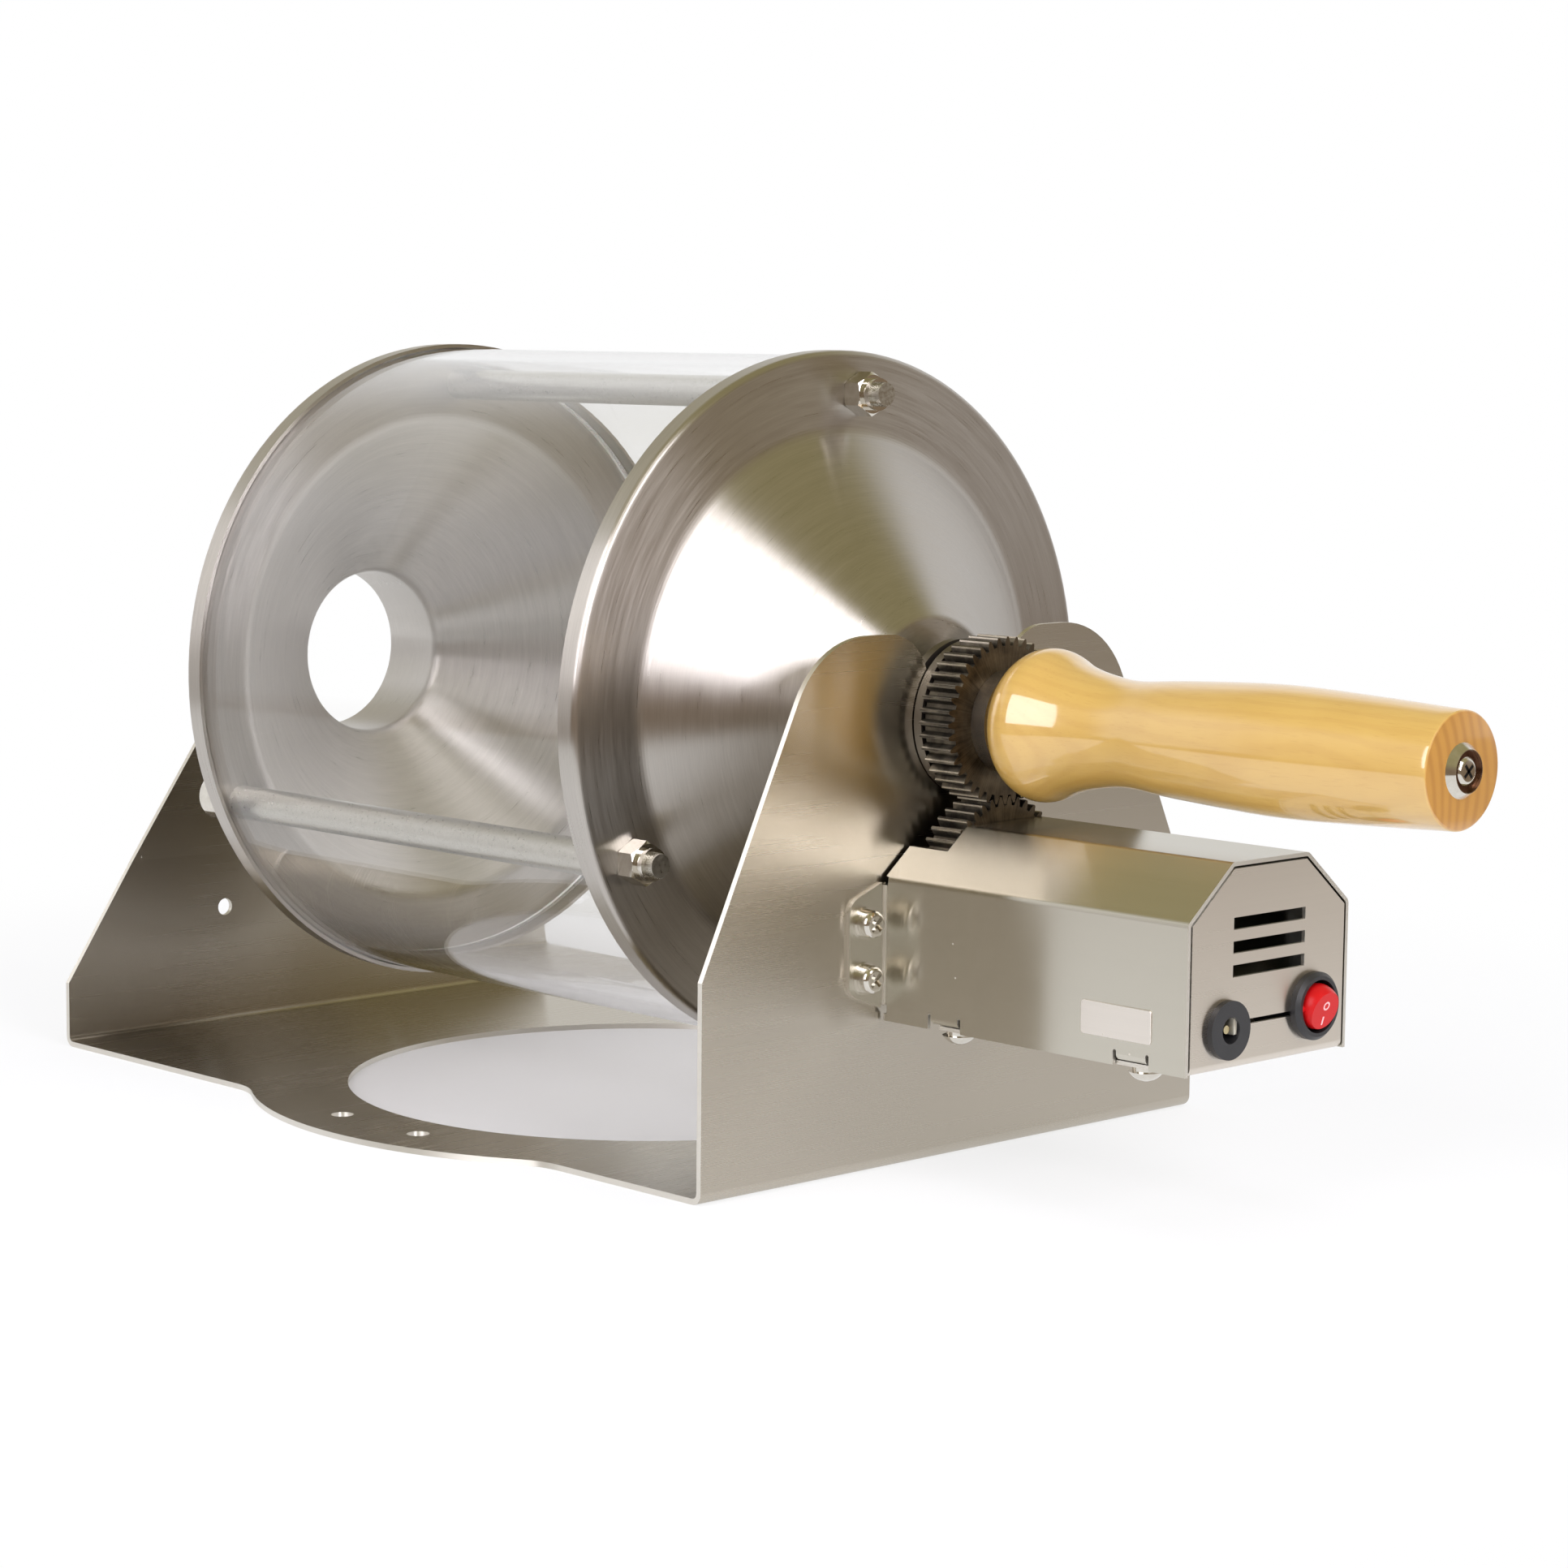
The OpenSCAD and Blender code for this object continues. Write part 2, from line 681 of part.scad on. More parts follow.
// A fastening tab's outline on the far side of the housing
module side_tab_outline() {
    wall = case_w / 2 - case_t;
    out = case_w / 2 + tab_reach;
    polygon(rounded_loop([[wall, tab_low_h], [case_w / 2, tab_low_h], [out, tab_low_h + tab_slant],
        [out, tab_high_h - tab_slant], [case_w / 2, tab_high_h], [wall, tab_high_h]],
        [0, 0, tab_corner_r, tab_corner_r, 0, 0], arc_steps));
}

// A foot tab's section on the far side: in from the wall, over a bend
function foot_tab_path() = rounded(
    [[case_w / 2 - foot_tab_reach, floor_in_h + foot_gap], [case_w / 2, floor_in_h + foot_gap],
        [case_w / 2, case_low_h + foot_notch_h]], [0, foot_bend_r, 0], arc_steps);

module motor_cover() {
    wall = case_w / 2 - case_t;
    notch_top = case_low_h + foot_notch_h - foot_slit_w / 2;
    color("silver") {
        difference() {
            union() {
                upright(front_x + case_t, case_len - case_t) polygon(sheet(case_path(), -case_t));
                for (s = [-1, 1]) scale([1, s, 1]) upright(front_x, case_t) side_tab_outline();
            }
            translate([front_x, -case_w, gear_slot_h]) cube([slot_end_x - front_x, 2 * case_w, case_top_h]);
            for (s = [-1, 1]) scale([1, s, 1]) {
                for (h = [tab_low_h, tab_high_h])
                    translate([front_x + case_t, wall - over, h]) rotate([-90, 0, 0])
                        cylinder(d = relief_d, h = case_t + 2 * over);
                for (h = [tab_low_h, tab_high_h])
                    on_axis(front_x - over, case_w / 2, h) cylinder(d = relief_d, h = case_t + 2 * over);
                for (h = [tab_screw_low_h, tab_screw_high_h])
                    on_axis(front_x - over, tab_screw_y, h)
                        cylinder(d = tab_screw_d + 2 * bolt_gap, h = case_t + 2 * over);
                for (x = foot_tab_x) {
                    translate([x - foot_notch_w / 2, wall - over, case_low_h - over])
                        cube([foot_notch_w, case_t + 2 * over, notch_top - case_low_h + over]);
                    for (side = [-1, 1])
                        translate([x + side * (foot_notch_w - foot_slit_w) / 2, wall - over, notch_top])
                            rotate([-90, 0, 0]) cylinder(d = foot_slit_w, h = case_t + 2 * over);
                }
            }
        }
        for (s = [-1, 1], x = foot_tab_x) scale([1, s, 1]) difference() {
            upright(x - foot_tab_w / 2, foot_tab_w) polygon(sheet(foot_tab_path(), case_t));
            translate([x, foot_screw_y, floor_in_h]) cylinder(d = screw_d + 2 * fit_gap, h = case_t + over);
        }
    }
}

// The end panel's outline, a gap smaller than the housing's inside
module panel_outline() {
    slack = case_t + panel_gap;
    half = case_w / 2 - slack;
    rise = (case_top_h - case_wall_h) / (case_w - case_top_w) * 2;
    stretch = sqrt(1 + rise * rise);
    top = case_top_h - slack;
    shoulder = case_wall_h - slack * (stretch - rise);
    top_half = half - (top - shoulder) / rise;
    polygon([[-half, case_low_h + case_bend_r], [-half, shoulder], [-top_half, top], [top_half, top],
        [half, shoulder], [half, case_low_h + case_bend_r]]);
}

module motor_chassis() {
    floor_x = bulkhead_x + case_bend_r;
    half = case_w / 2 - case_t - panel_gap;
    color("silver") difference() {
        union() {
            translate([floor_x, -floor_half_w, case_low_h])
                cube([case_end_x - case_bend_r - floor_x, 2 * floor_half_w, case_t]);
            translate([floor_x, 0, case_low_h + case_bend_r]) bend(case_bend_r, case_t, 2 * bulkhead_half_w);
            translate([case_end_x - case_bend_r, 0, case_low_h + case_bend_r]) scale([-1, 1, 1])
                bend(case_bend_r, case_t, 2 * half);
            upright(bulkhead_x, case_t) intersection() {
                panel_outline();
                translate([-bulkhead_half_w, case_low_h]) square([2 * bulkhead_half_w, case_h]);
            }
            upright(panel_x, case_t) panel_outline();
        }
        on_axis(bulkhead_x - over, 0, motor_h) cylinder(d = boss_d + 2 * bolt_gap, h = case_t + 2 * over);
        for (a = gearbox_screw_angles)
            on_axis(bulkhead_x - over, gearbox_screw_r * cos(a), gearbox_h + gearbox_screw_r * sin(a))
                cylinder(d = screw_d + 2 * bolt_gap, h = case_t + 2 * over);
        for (i = [0:2])
            translate([panel_x - over, -vent_len / 2, vent_low_h + i * vent_pitch - vent_w / 2])
                cube([case_t + 2 * over, vent_len, vent_w]);
        on_axis(panel_x - over, -inlet_y, inlet_h)
            cylinder(d = inlet_thread_d + 2 * bolt_gap, h = case_t + 2 * over);
        on_axis(panel_x - over, switch_y, switch_h)
            cylinder(d = switch_body_d + 2 * bolt_gap, h = case_t + 2 * over);
        translate([panel_x - over, -inlet_y, (inlet_h + switch_h - cable_slot_w) / 2])
            cube([case_t + 2 * over, inlet_y + switch_y, cable_slot_w]);
        for (x = foot_tab_x, s = [-1, 1])
            translate([x, s * foot_screw_y, case_low_h - over])
                cylinder(d = screw_d + 2 * bolt_gap, h = case_t + 2 * over);
    }
}

// A domed screw head, drawn up from its seat
module dome(d, h) {
    sphere_r = (h * h + d * d / 4) / (2 * h);
    intersection() {
        translate([0, 0, h - sphere_r]) sphere(sphere_r);
        cylinder(d = d, h = h);
    }
}

// What repeats at the four screws of the fastening tabs, drawn from x
module at_tab_screws(x) {
    for (s = [-1, 1], h = [tab_screw_low_h, tab_screw_high_h]) on_axis(x, s * tab_screw_y, h) children();
}

// A cross-shaped recess for a screwdriver, cut down from the head's top at height h
module cross_recess(head_d, h) {
    for (a = [0, 90]) rotate([0, 0, a])
        translate([-head_d * cross_share / 2, -head_d * cross_slot_share / 2, h - cross_depth])
            cube([head_d * cross_share, head_d * cross_slot_share, cross_depth + over]);
}

module cover_screws() {
    head_x = front_x + case_t + flat_washer_t + spring_washer_t;
    end_x = plate_in_x - tab_nut_h - tab_screw_d / 3;
    color("gainsboro") {
        at_tab_screws(end_x) cylinder(d = tab_screw_d, h = head_x - end_x);
        at_tab_screws(head_x) difference() {
            rotate_extrude()
                polygon(concat([[0, 0]], rounded([[pan_head_d / 2, 0], [pan_head_d / 2, pan_head_h], [0, pan_head_h]],
                    [0, pan_head_h / 2, 0], arc_steps)));
            rotate([0, 0, 45]) cross_recess(pan_head_d, pan_head_h);
        }
    }
}

module cover_screw_washers() {
    color("gainsboro") {
        at_tab_screws(front_x + case_t) tube(flat_washer_d, tab_screw_d + 2 * fit_gap, flat_washer_t);
        at_tab_screws(front_x + case_t + flat_washer_t)
            tube(spring_washer_d, tab_screw_d + 2 * fit_gap, spring_washer_t);
    }
}

module cover_screw_nuts() {
    color("gainsboro") at_tab_screws(plate_in_x - tab_nut_h) difference() {
        hex_bar(tab_nut_af, tab_nut_h);
        translate([0, 0, -over]) cylinder(d = tab_screw_d + 2 * fit_gap, h = tab_nut_h + 2 * over);
    }
}

module chassis_screws() {
    color("gainsboro") for (x = foot_tab_x, s = [-1, 1]) translate([x, s * foot_screw_y, case_low_h]) {
        rotate([180, 0, 0]) cylinder(d = dome_collar_d, h = dome_collar_h);
        translate([0, 0, -dome_collar_h]) rotate([180, 0, 0]) difference() {
            dome(dome_head_d, dome_head_h);
            cross_recess(pan_head_d, dome_head_h);
        }
        cylinder(d = screw_d, h = foot_screw_len);
    }
}

module gearbox() {
    color("silver") difference() {
        union() {
            on_axis(gearbox_x, 0, gearbox_h) cylinder(d = gearbox_d, h = gearbox_len);
            on_axis(gearbox_x - boss_len, 0, motor_h) cylinder(d = boss_d, h = boss_len + over);
        }
        on_axis(gearbox_x - boss_len - over, 0, motor_h)
            cylinder(d = output_d + 2 * running_gap, h = boss_len + gearbox_len / 2 + over);
        for (a = gearbox_screw_angles)
            on_axis(gearbox_x - over, gearbox_screw_r * cos(a), gearbox_h + gearbox_screw_r * sin(a))
                cylinder(d = screw_d + 2 * fit_gap, h = gearbox_screw_len + over);
    }
}

module gearbox_screws() {
    color("gainsboro") for (a = gearbox_screw_angles)
        on_axis(bulkhead_x - low_head_h, gearbox_screw_r * cos(a), gearbox_h + gearbox_screw_r * sin(a)) {
            cylinder(d = low_head_d, h = low_head_h);
            cylinder(d = screw_d, h = low_head_h + case_t + gearbox_screw_len - over);
        }
}

module motor_can() {
    color("silver") {
        on_axis(motor_x, 0, gearbox_h) cylinder(d = motor_d, h = motor_len);
        on_axis(motor_end_x, 0, gearbox_h) cylinder(d = tail_d, h = tail_len);
    }
}

module motor_terminals() {
    color("goldenrod") for (s = [-1, 1])
        translate([motor_end_x, s * terminal_y - terminal_t / 2, gearbox_h - terminal_w / 2])
            cube([terminal_len, terminal_t, terminal_w]);
}

module output_shaft() {
    inside = gearbox_len / 3;
    color("silver") on_axis(output_end_x, 0, motor_h)
        cylinder(d = output_d, h = gearbox_x + inside - output_end_x);
}

// How far the involute has turned at radius r from a base circle, in degrees
function involute(base, r) = tan(acos(base / r)) * 180 / PI - acos(base / r);

// A gear's outline: involute flanks thinned by the backlash, with a tooth at angle turn
function gear_outline(teeth, turn) =
    let (pitch_r = gear_module * teeth / 2, base_r = pitch_r * cos(pressure_angle))
    let (root_r = pitch_r - dedendum, tip_r = pitch_r + addendum, start_r = max(base_r, root_r + dedendum / 20))
    let (at_pitch = 90 / teeth - backlash / pitch_r * 90 / PI + involute(base_r, pitch_r))
    let (radii = [for (i = [0:flank_steps]) start_r + (tip_r - start_r) * i / flank_steps])
    [for (k = [0:teeth - 1])
        let (c = turn + k * 360 / teeth)
        each concat(
            [polar(root_r, c - at_pitch + involute(base_r, start_r))],
            [for (r = radii) polar(r, c - at_pitch + involute(base_r, r))],
            [for (i = [flank_steps:-1:0]) polar(radii[i], c + at_pitch - involute(base_r, radii[i]))],
            [polar(root_r, c + at_pitch - involute(base_r, start_r))])];

module motor_gear() {
    color("dimgray") difference() {
        on_axis(gear_x, 0, motor_h) linear_extrude(gear_w) polygon(gear_outline(motor_teeth, 180 + 180 / motor_teeth));
        on_axis(gear_x - over, 0, motor_h) cylinder(d = output_d + 2 * fit_gap, h = gear_w + 2 * over);
        translate([gear_x + gear_w / 2, 0, motor_h]) rotate([180, 0, 0])
            cylinder(d = screw_d + 2 * fit_gap, h = gear_module * motor_teeth / 2 + 2 * addendum);
    }
}

module motor_gear_screw() {
    grub_len = 5;
    color("black") translate([gear_x + gear_w / 2, 0, motor_h - output_d / 2 - fit_gap]) rotate([180, 0, 0])
        cylinder(d = screw_d, h = grub_len);
}

module inlet_body() {
    color("black") difference() {
        union() {
            on_axis(case_end_x, -inlet_y, inlet_h) cylinder(d = inlet_flange_d, h = inlet_flange_t);
            on_axis_back(case_end_x + over, -inlet_y, inlet_h) cylinder(d = inlet_thread_d, h = inlet_len + over);
        }
        on_axis_back(case_end_x + inlet_flange_t + over, -inlet_y, inlet_h) cylinder(d = socket_d, h = socket_depth + over);
        on_axis_back(case_end_x, -inlet_y, inlet_h) cylinder(d = inlet_pin_d + 2 * fit_gap, h = inlet_len + over);
    }
}

module inlet_pin() {
    pin_inset = 1.5;
    front = case_end_x + inlet_flange_t - pin_inset;
    back = case_end_x - inlet_len - inlet_lug_len;
    color("goldenrod") on_axis(back, -inlet_y, inlet_h) cylinder(d = inlet_pin_d, h = front - back);
}

module inlet_nut() {
    color("black") on_axis_back(panel_x, -inlet_y, inlet_h) difference() {
        hex_bar(inlet_nut_af, inlet_nut_h);
        translate([0, 0, -over]) cylinder(d = inlet_thread_d + 2 * fit_gap, h = inlet_nut_h + 2 * over);
    }
}

module switch_housing() {
    bevel = 0.9;
    color("black") difference() {
        union() {
            on_axis(case_end_x, switch_y, switch_h) {
                cylinder(d = bezel_d, h = bezel_t - bevel);
                translate([0, 0, bezel_t - bevel]) cylinder(d1 = bezel_d, d2 = bezel_d - 2 * bevel, h = bevel);
            }
            on_axis_back(case_end_x + over, switch_y, switch_h) cylinder(d = switch_body_d, h = switch_body_len + over);
        }
        on_axis_back(case_end_x + bezel_t + over, switch_y, switch_h) cylinder(d = cavity_d, h = cavity_depth + over);
        translate([pivot_x, switch_y, switch_h]) rotate([90, 0, 0])
            cylinder(d = rocker_pin_d + 2 * running_gap, h = 2 * rocker_pin_reach + seat_gap, center = true);
    }
}

module switch_terminals() {
    color("goldenrod") for (s = [-1, 1])
        translate([case_end_x - switch_body_len - lug_len, switch_y - lug_w / 2, switch_h + s * lug_y - lug_t / 2])
            cube([lug_len, lug_w, lug_t]);
}

// The rocker stands with its lower half pressed in and its upper half out
module switch_rocker() {
    color("red") translate([pivot_x, switch_y, switch_h]) rotate([0, rocker_travel / 2, 0]) {
        intersection() {
            translate([-rocker_back, 0, 0]) rotate([0, 90, 0]) cylinder(d = rocker_d, h = rocker_back + rocker_face);
            sphere(d = rocker_d);
        }
        rotate([90, 0, 0]) cylinder(d = rocker_pin_d, h = 2 * rocker_pin_reach, center = true);
    }
}

// A plain bearing with two flanges, which lies in the front plate's notch
module bearing_bush() {
    color("silver") on_axis(bush_rear_x) rotate_extrude()
        polygon([[shaft_d / 2 + running_gap, 0], [bush_flange_d / 2, 0], [bush_flange_d / 2, bush_flange_t],
            [bush_d / 2, bush_flange_t], [bush_d / 2, bush_front_x - bush_rear_x - bush_flange_t],
            [bush_flange_d / 2, bush_front_x - bush_rear_x - bush_flange_t],
            [bush_flange_d / 2, bush_front_x - bush_rear_x], [shaft_d / 2 + running_gap, bush_front_x - bush_rear_x]]);
}

// Cuts the rod holes in a cover drawn round Z, whose flat face lies at height h
module rod_holes(h, mirrored) {
    for (a = rod_angles)
        rotate([0, 0, mirrored ? a : 180 - a]) translate([rod_circle_d / 2, 0, h - cover_t - over])
            cylinder(d = rod_hole_d, h = cover_t + 2 * over);
}

module front_cover() {
    path = rounded([[drum_r, 0], [drum_r, rim_w], [cone_d / 2, rim_w], [collar_r, rim_w + cone_depth],
        [shaft_d / 2 + bolt_gap, rim_w + cone_depth]], [0, rim_edge_r, cone_foot_r, cone_nose_r, 0], arc_steps);
    color("silver") on_axis(drum_front_x - rim_w) difference() {
        rotate_extrude() polygon(sheet(path, cover_t));
        rod_holes(rim_w, false);
    }
}

module rear_cover() {
    path = rounded([[drum_r, 0], [drum_r, rim_w], [cone_d / 2, rim_w], [collar_r, rim_w + cone_depth],
        [collar_r, rim_w + cone_depth + collar_len]], [0, rim_edge_r, cone_foot_r, cone_nose_r, 0], arc_steps);
    color("silver") on_axis_back(drum_rear_x + rim_w) difference() {
        rotate_extrude() polygon(sheet(path, cover_t));
        rod_holes(rim_w, true);
    }
}

module glass_cylinder() {
    color("azure", 0.3) on_axis(rear_in_x + gasket_t)
        tube(2 * glass_r, 2 * (glass_r - glass_t), front_in_x - rear_in_x - 2 * gasket_t);
}

// A sealing ring between the glass and a cover
module gasket() {
    tube(2 * (glass_r - gasket_inset), 2 * (glass_r - glass_t), gasket_t);
}

module front_gasket() { color("white") on_axis(front_in_x - gasket_t) gasket(); }

module rear_gasket() { color("white") on_axis(rear_in_x) gasket(); }

// Places what is drawn round the axis at the rod of angle a, from x
module at_rod(a, x) {
    on_axis(x, -rod_circle_d / 2 * sin(a), axis_h + rod_circle_d / 2 * cos(a)) children();
}

// A rod with a threaded end through each cover
module tie_rod(a) {
    front_end_x = drum_front_x + lock_nut_h + thread_end;
    rear_end_x = drum_rear_x - cap_nut_h / 2;
    color("gainsboro") {
        at_rod(a, rear_in_x) cylinder(d = rod_d, h = front_in_x - rear_in_x);
        at_rod(a, rear_end_x) cylinder(d = rod_thread_d, h = front_end_x - rear_end_x);
    }
}

module tie_rod_top() { tie_rod(-rod_angles[0]); }

module tie_rod_near() { tie_rod(-rod_angles[2]); }

module tie_rod_far() { tie_rod(-rod_angles[1]); }

module tie_rod_lock_nuts() {
    collar_d = lock_nut_af * lock_collar_share;
    color("gainsboro") for (a = rod_angles) at_rod(-a, drum_front_x) difference() {
        union() {
            hex_bar(lock_nut_af, lock_nut_h - lock_collar_h);
            cylinder(d = collar_d, h = lock_nut_h);
        }
        translate([0, 0, -over]) cylinder(d = rod_thread_d + 2 * fit_gap, h = lock_nut_h + 2 * over);
    }
}

module tie_rod_cap_nuts() {
    skirt = cap_nut_h - cap_nut_d / 4;
    color("gainsboro") for (a = rod_angles) at_rod(-a, drum_rear_x) rotate([180, 0, 0]) difference() {
        union() {
            cylinder(d = cap_nut_d, h = skirt);
            translate([0, 0, skirt]) dome(cap_nut_d, cap_nut_h - skirt);
        }
        translate([0, 0, -over]) cylinder(d = rod_thread_d + 2 * fit_gap, h = cap_nut_h / 2 + over + fit_gap);
    }
}

module drum_shaft() {
    start_x = hub_nut_x - hub_thread_end;
    color("silver") difference() {
        union() {
            on_axis(start_x) cylinder(d = shaft_d, h = shaft_end_x - start_x);
            on_axis(nose_x) cylinder(d = shoulder_d, h = shoulder_end_x - nose_x);
        }
        on_axis(handle_bolt_end_x - over)
            cylinder(d = handle_bolt_d + 2 * fit_gap, h = shaft_end_x - handle_bolt_end_x + 2 * over);
    }
}

module hub_washer() {
    color("silver") on_axis(nose_in_x - hub_washer_t) tube(hub_washer_d, shaft_d + 2 * fit_gap, hub_washer_t);
}

module hub_nut() {
    color("silver") on_axis(hub_nut_x) difference() {
        hex_bar(hub_nut_af, hub_nut_h);
        translate([0, 0, -over]) cylinder(d = shaft_d + 2 * fit_gap, h = hub_nut_h + 2 * over);
    }
}

module drum_gear() {
    color("dimgray") difference() {
        union() {
            on_axis(gear_x) linear_extrude(gear_w) polygon(gear_outline(drum_teeth, 0));
            on_axis(boss_x - over) cylinder(d = gear_boss_d, h = gear_boss_len + over);
        }
        on_axis(gear_x - over) cylinder(d = shaft_d + 2 * fit_gap, h = gear_w + gear_boss_len + 2 * over);
        translate([boss_x + gear_boss_len / 2, 0, axis_h])
            cylinder(d = grub_d + 2 * fit_gap, h = gear_boss_d);
    }
}

module drum_gear_screw() {
    color("black") translate([boss_x + gear_boss_len / 2, 0, axis_h + shaft_d / 2 + fit_gap])
        cylinder(d = grub_d, h = (gear_boss_d - shaft_d) / 2 - grub_inset);
}

module handle() {
    last = len(handle_station_shares) - 1;
    stations = [for (i = [0:last])
        [handle_radius_shares[i] * handle_d / 2, handle_station_shares[i] * handle_len]];
    curve = smooth(stations, curve_steps);
    end = curve[len(curve) - 1];
    edge = corner(curve[len(curve) - 2], end, [0, handle_len], handle_edge_r, arc_steps);
    shape = [for (p = curve) if (p[1] < handle_len - handle_edge_r) p];
    color("burlywood") on_axis(handle_x) difference() {
        rotate_extrude() polygon(concat([[0, 0]], shape, edge, [[0, handle_len]]));
        translate([0, 0, -over])
            cylinder(d = shaft_d + 2 * shaft_hole_gap, h = handle_bore_x - handle_x + over);
        cylinder(d = handle_bolt_d + 2 * bolt_gap, h = handle_len + over);
    }
}

module handle_bolt() {
    head_x = handle_end_x + end_washer_t - bolt_head_h;
    color("silver") on_axis(handle_bolt_end_x) difference() {
        union() {
            cylinder(d = handle_bolt_d, h = head_x - handle_bolt_end_x);
            translate([0, 0, head_x - handle_bolt_end_x]) cylinder(d = bolt_head_d, h = bolt_head_h);
        }
        translate([0, 0, head_x + bolt_head_h - hex_socket_depth - handle_bolt_end_x])
            cylinder(d = hex_socket_af / cos(30), h = hex_socket_depth + over, $fn = 6);
    }
}

module end_washer() {
    hole = bolt_head_d + 2 * fit_gap;
    seat = end_washer_t - bolt_head_h;
    color("silver") on_axis(handle_end_x) rotate_extrude()
        polygon([[handle_bolt_d / 2 + fit_gap, 0], [end_washer_d / 2, 0], [end_washer_d / 2, end_washer_t - washer_bevel],
            [end_washer_d / 2 - washer_bevel, end_washer_t], [hole / 2, end_washer_t], [hole / 2, seat],
            [handle_bolt_d / 2 + fit_gap, seat]]);
}

stand_frame();
roller_axles();
roller_axle_nuts();
roller_spacers();
roller_inner_rings();
roller_near();
roller_far();
motor_cover();
motor_chassis();
cover_screws();
cover_screw_washers();
cover_screw_nuts();
chassis_screws();
gearbox();
gearbox_screws();
motor_can();
motor_terminals();
output_shaft();
motor_gear();
motor_gear_screw();
inlet_body();
inlet_pin();
inlet_nut();
switch_housing();
switch_terminals();
switch_rocker();
bearing_bush();
front_cover();
rear_cover();
glass_cylinder();
front_gasket();
rear_gasket();
tie_rod_top();
tie_rod_near();
tie_rod_far();
tie_rod_lock_nuts();
tie_rod_cap_nuts();
drum_shaft();
hub_washer();
hub_nut();
drum_gear();
drum_gear_screw();
handle();
handle_bolt();
end_washer();
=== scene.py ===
"""Dresses the stovetop coffee bean roaster: finishes, small made details, studio and camera.

Lengths are metres, in the frame of the CAD model: the x axis lies along the drum towards the handle, and
z is up from the base's underside. Patterns read Object coordinates, and their scales come from real sizes.
"""

import logging
import math
from dataclasses import dataclass
from enum import Enum
from functools import partial
from typing import Any, Callable, Iterable, Optional, Sequence

import bmesh
import bpy
from mathutils import Matrix, Vector


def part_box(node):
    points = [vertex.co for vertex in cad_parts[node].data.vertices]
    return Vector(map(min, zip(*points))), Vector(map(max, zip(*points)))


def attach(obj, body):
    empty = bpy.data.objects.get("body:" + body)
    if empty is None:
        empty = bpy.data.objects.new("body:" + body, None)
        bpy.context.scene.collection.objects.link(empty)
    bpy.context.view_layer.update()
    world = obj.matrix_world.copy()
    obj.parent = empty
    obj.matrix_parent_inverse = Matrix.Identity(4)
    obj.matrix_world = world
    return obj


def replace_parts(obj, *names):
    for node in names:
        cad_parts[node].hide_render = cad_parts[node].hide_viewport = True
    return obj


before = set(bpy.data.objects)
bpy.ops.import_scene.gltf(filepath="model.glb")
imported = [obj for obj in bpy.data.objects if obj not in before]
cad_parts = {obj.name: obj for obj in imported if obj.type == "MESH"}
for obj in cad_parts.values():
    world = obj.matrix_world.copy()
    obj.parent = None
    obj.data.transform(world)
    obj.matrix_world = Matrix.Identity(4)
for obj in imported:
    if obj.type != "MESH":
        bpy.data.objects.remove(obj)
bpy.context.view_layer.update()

MM = 0.001
ORIGIN = (0.0, 0.0, 0.0)
X_AXIS = (1.0, 0.0, 0.0)
Z_AXIS = (0.0, 0.0, 1.0)
ACROSS_X = (0.0, 1.0, 1.0)
SLIVER = 0.001 * MM
SKIN = 0.01 * MM
SHARP_ANGLE = math.radians(20)
STEPS_IN_TURN = 32
LOG = logging.getLogger("roaster")
Mesh = bmesh.types.BMesh
Node = bpy.types.Node
Socket = bpy.types.NodeSocket
Maker = Callable[..., Socket]
Triple = tuple[float, float, float]
SMOOTH = {"interpolation_type": "SMOOTHSTEP"}


def linear(hex_colour: str) -> tuple[float, float, float, float]:
    """Turns an sRGB hex colour to linear.

    Args:
        hex_colour: Six hex digits after a hash sign.

    Returns:
        Red, green, blue and an alpha of one, all linear.
    """
    parts = [int(hex_colour[i : i + 2], 16) / 255 for i in (1, 3, 5)]
    curve = [c / 12.92 if c <= 0.04045 else ((c + 0.055) / 1.055) ** 2.4 for c in parts]
    return (curve[0], curve[1], curve[2], 1.0)


WHITE = linear("#FFFFFF")


def feed(node: Node, inputs: dict) -> None:
    """Sets or links a node's inputs.

    Args:
        node: The node.
        inputs: Socket name or number, with a value, or with an output to link.
    """
    for key, value in inputs.items():
        if isinstance(value, Socket):
            node.id_data.links.new(value, node.inputs[key])
        else:
            node.inputs[key].default_value = value


def add_node(
    tree: bpy.types.NodeTree, kind: str, *inputs: Any, pick: Optional[str] = None, **settings: Any
) -> Optional[Socket]:
    """Adds one shader node with its settings, and sets or links its inputs.

    Args:
        tree: The node tree it goes into.
        kind: The node's Blender type name after the word ShaderNode.
        *inputs: Values, or outputs to link, in the order of the node's sockets; or one dict, as for feed. A
            map range takes its value, the two limits that are read and the two that come out.
        pick: Which output is wanted, if it isn't the first one in use.
        **settings: The node's own properties.

    Returns:
        That output, which knows its node; nothing for a node that has no output.
    """
    made = tree.nodes.new("ShaderNode" + kind)
    for key, value in settings.items():
        setattr(made, key, value)
    for key, value in enumerate(inputs):
        feed(made, value if isinstance(value, dict) else {key: value})
    if pick is not None:
        return made.outputs[pick]
    return next((output for output in made.outputs if output.enabled), None)


class Grain(Enum):
    """Which way the brushing marks of a sheet run."""

    ALONG_X = (1.0, 0.0, 0.0)
    ALONG_Y = (0.0, 1.0, 0.0)


class SheetEdges(Enum):
    """Which folded part a brushed sheet is, which tells where its cut edges lie."""

    NONE = "none"
    STAND = "stand"
    COVER = "cover"
    CHASSIS = "chassis"


class Level(Enum):
    """How high above the base's underside an axis that parts turn about lies, in metres."""

    DRUM = 0.112
    MOTOR = 0.072


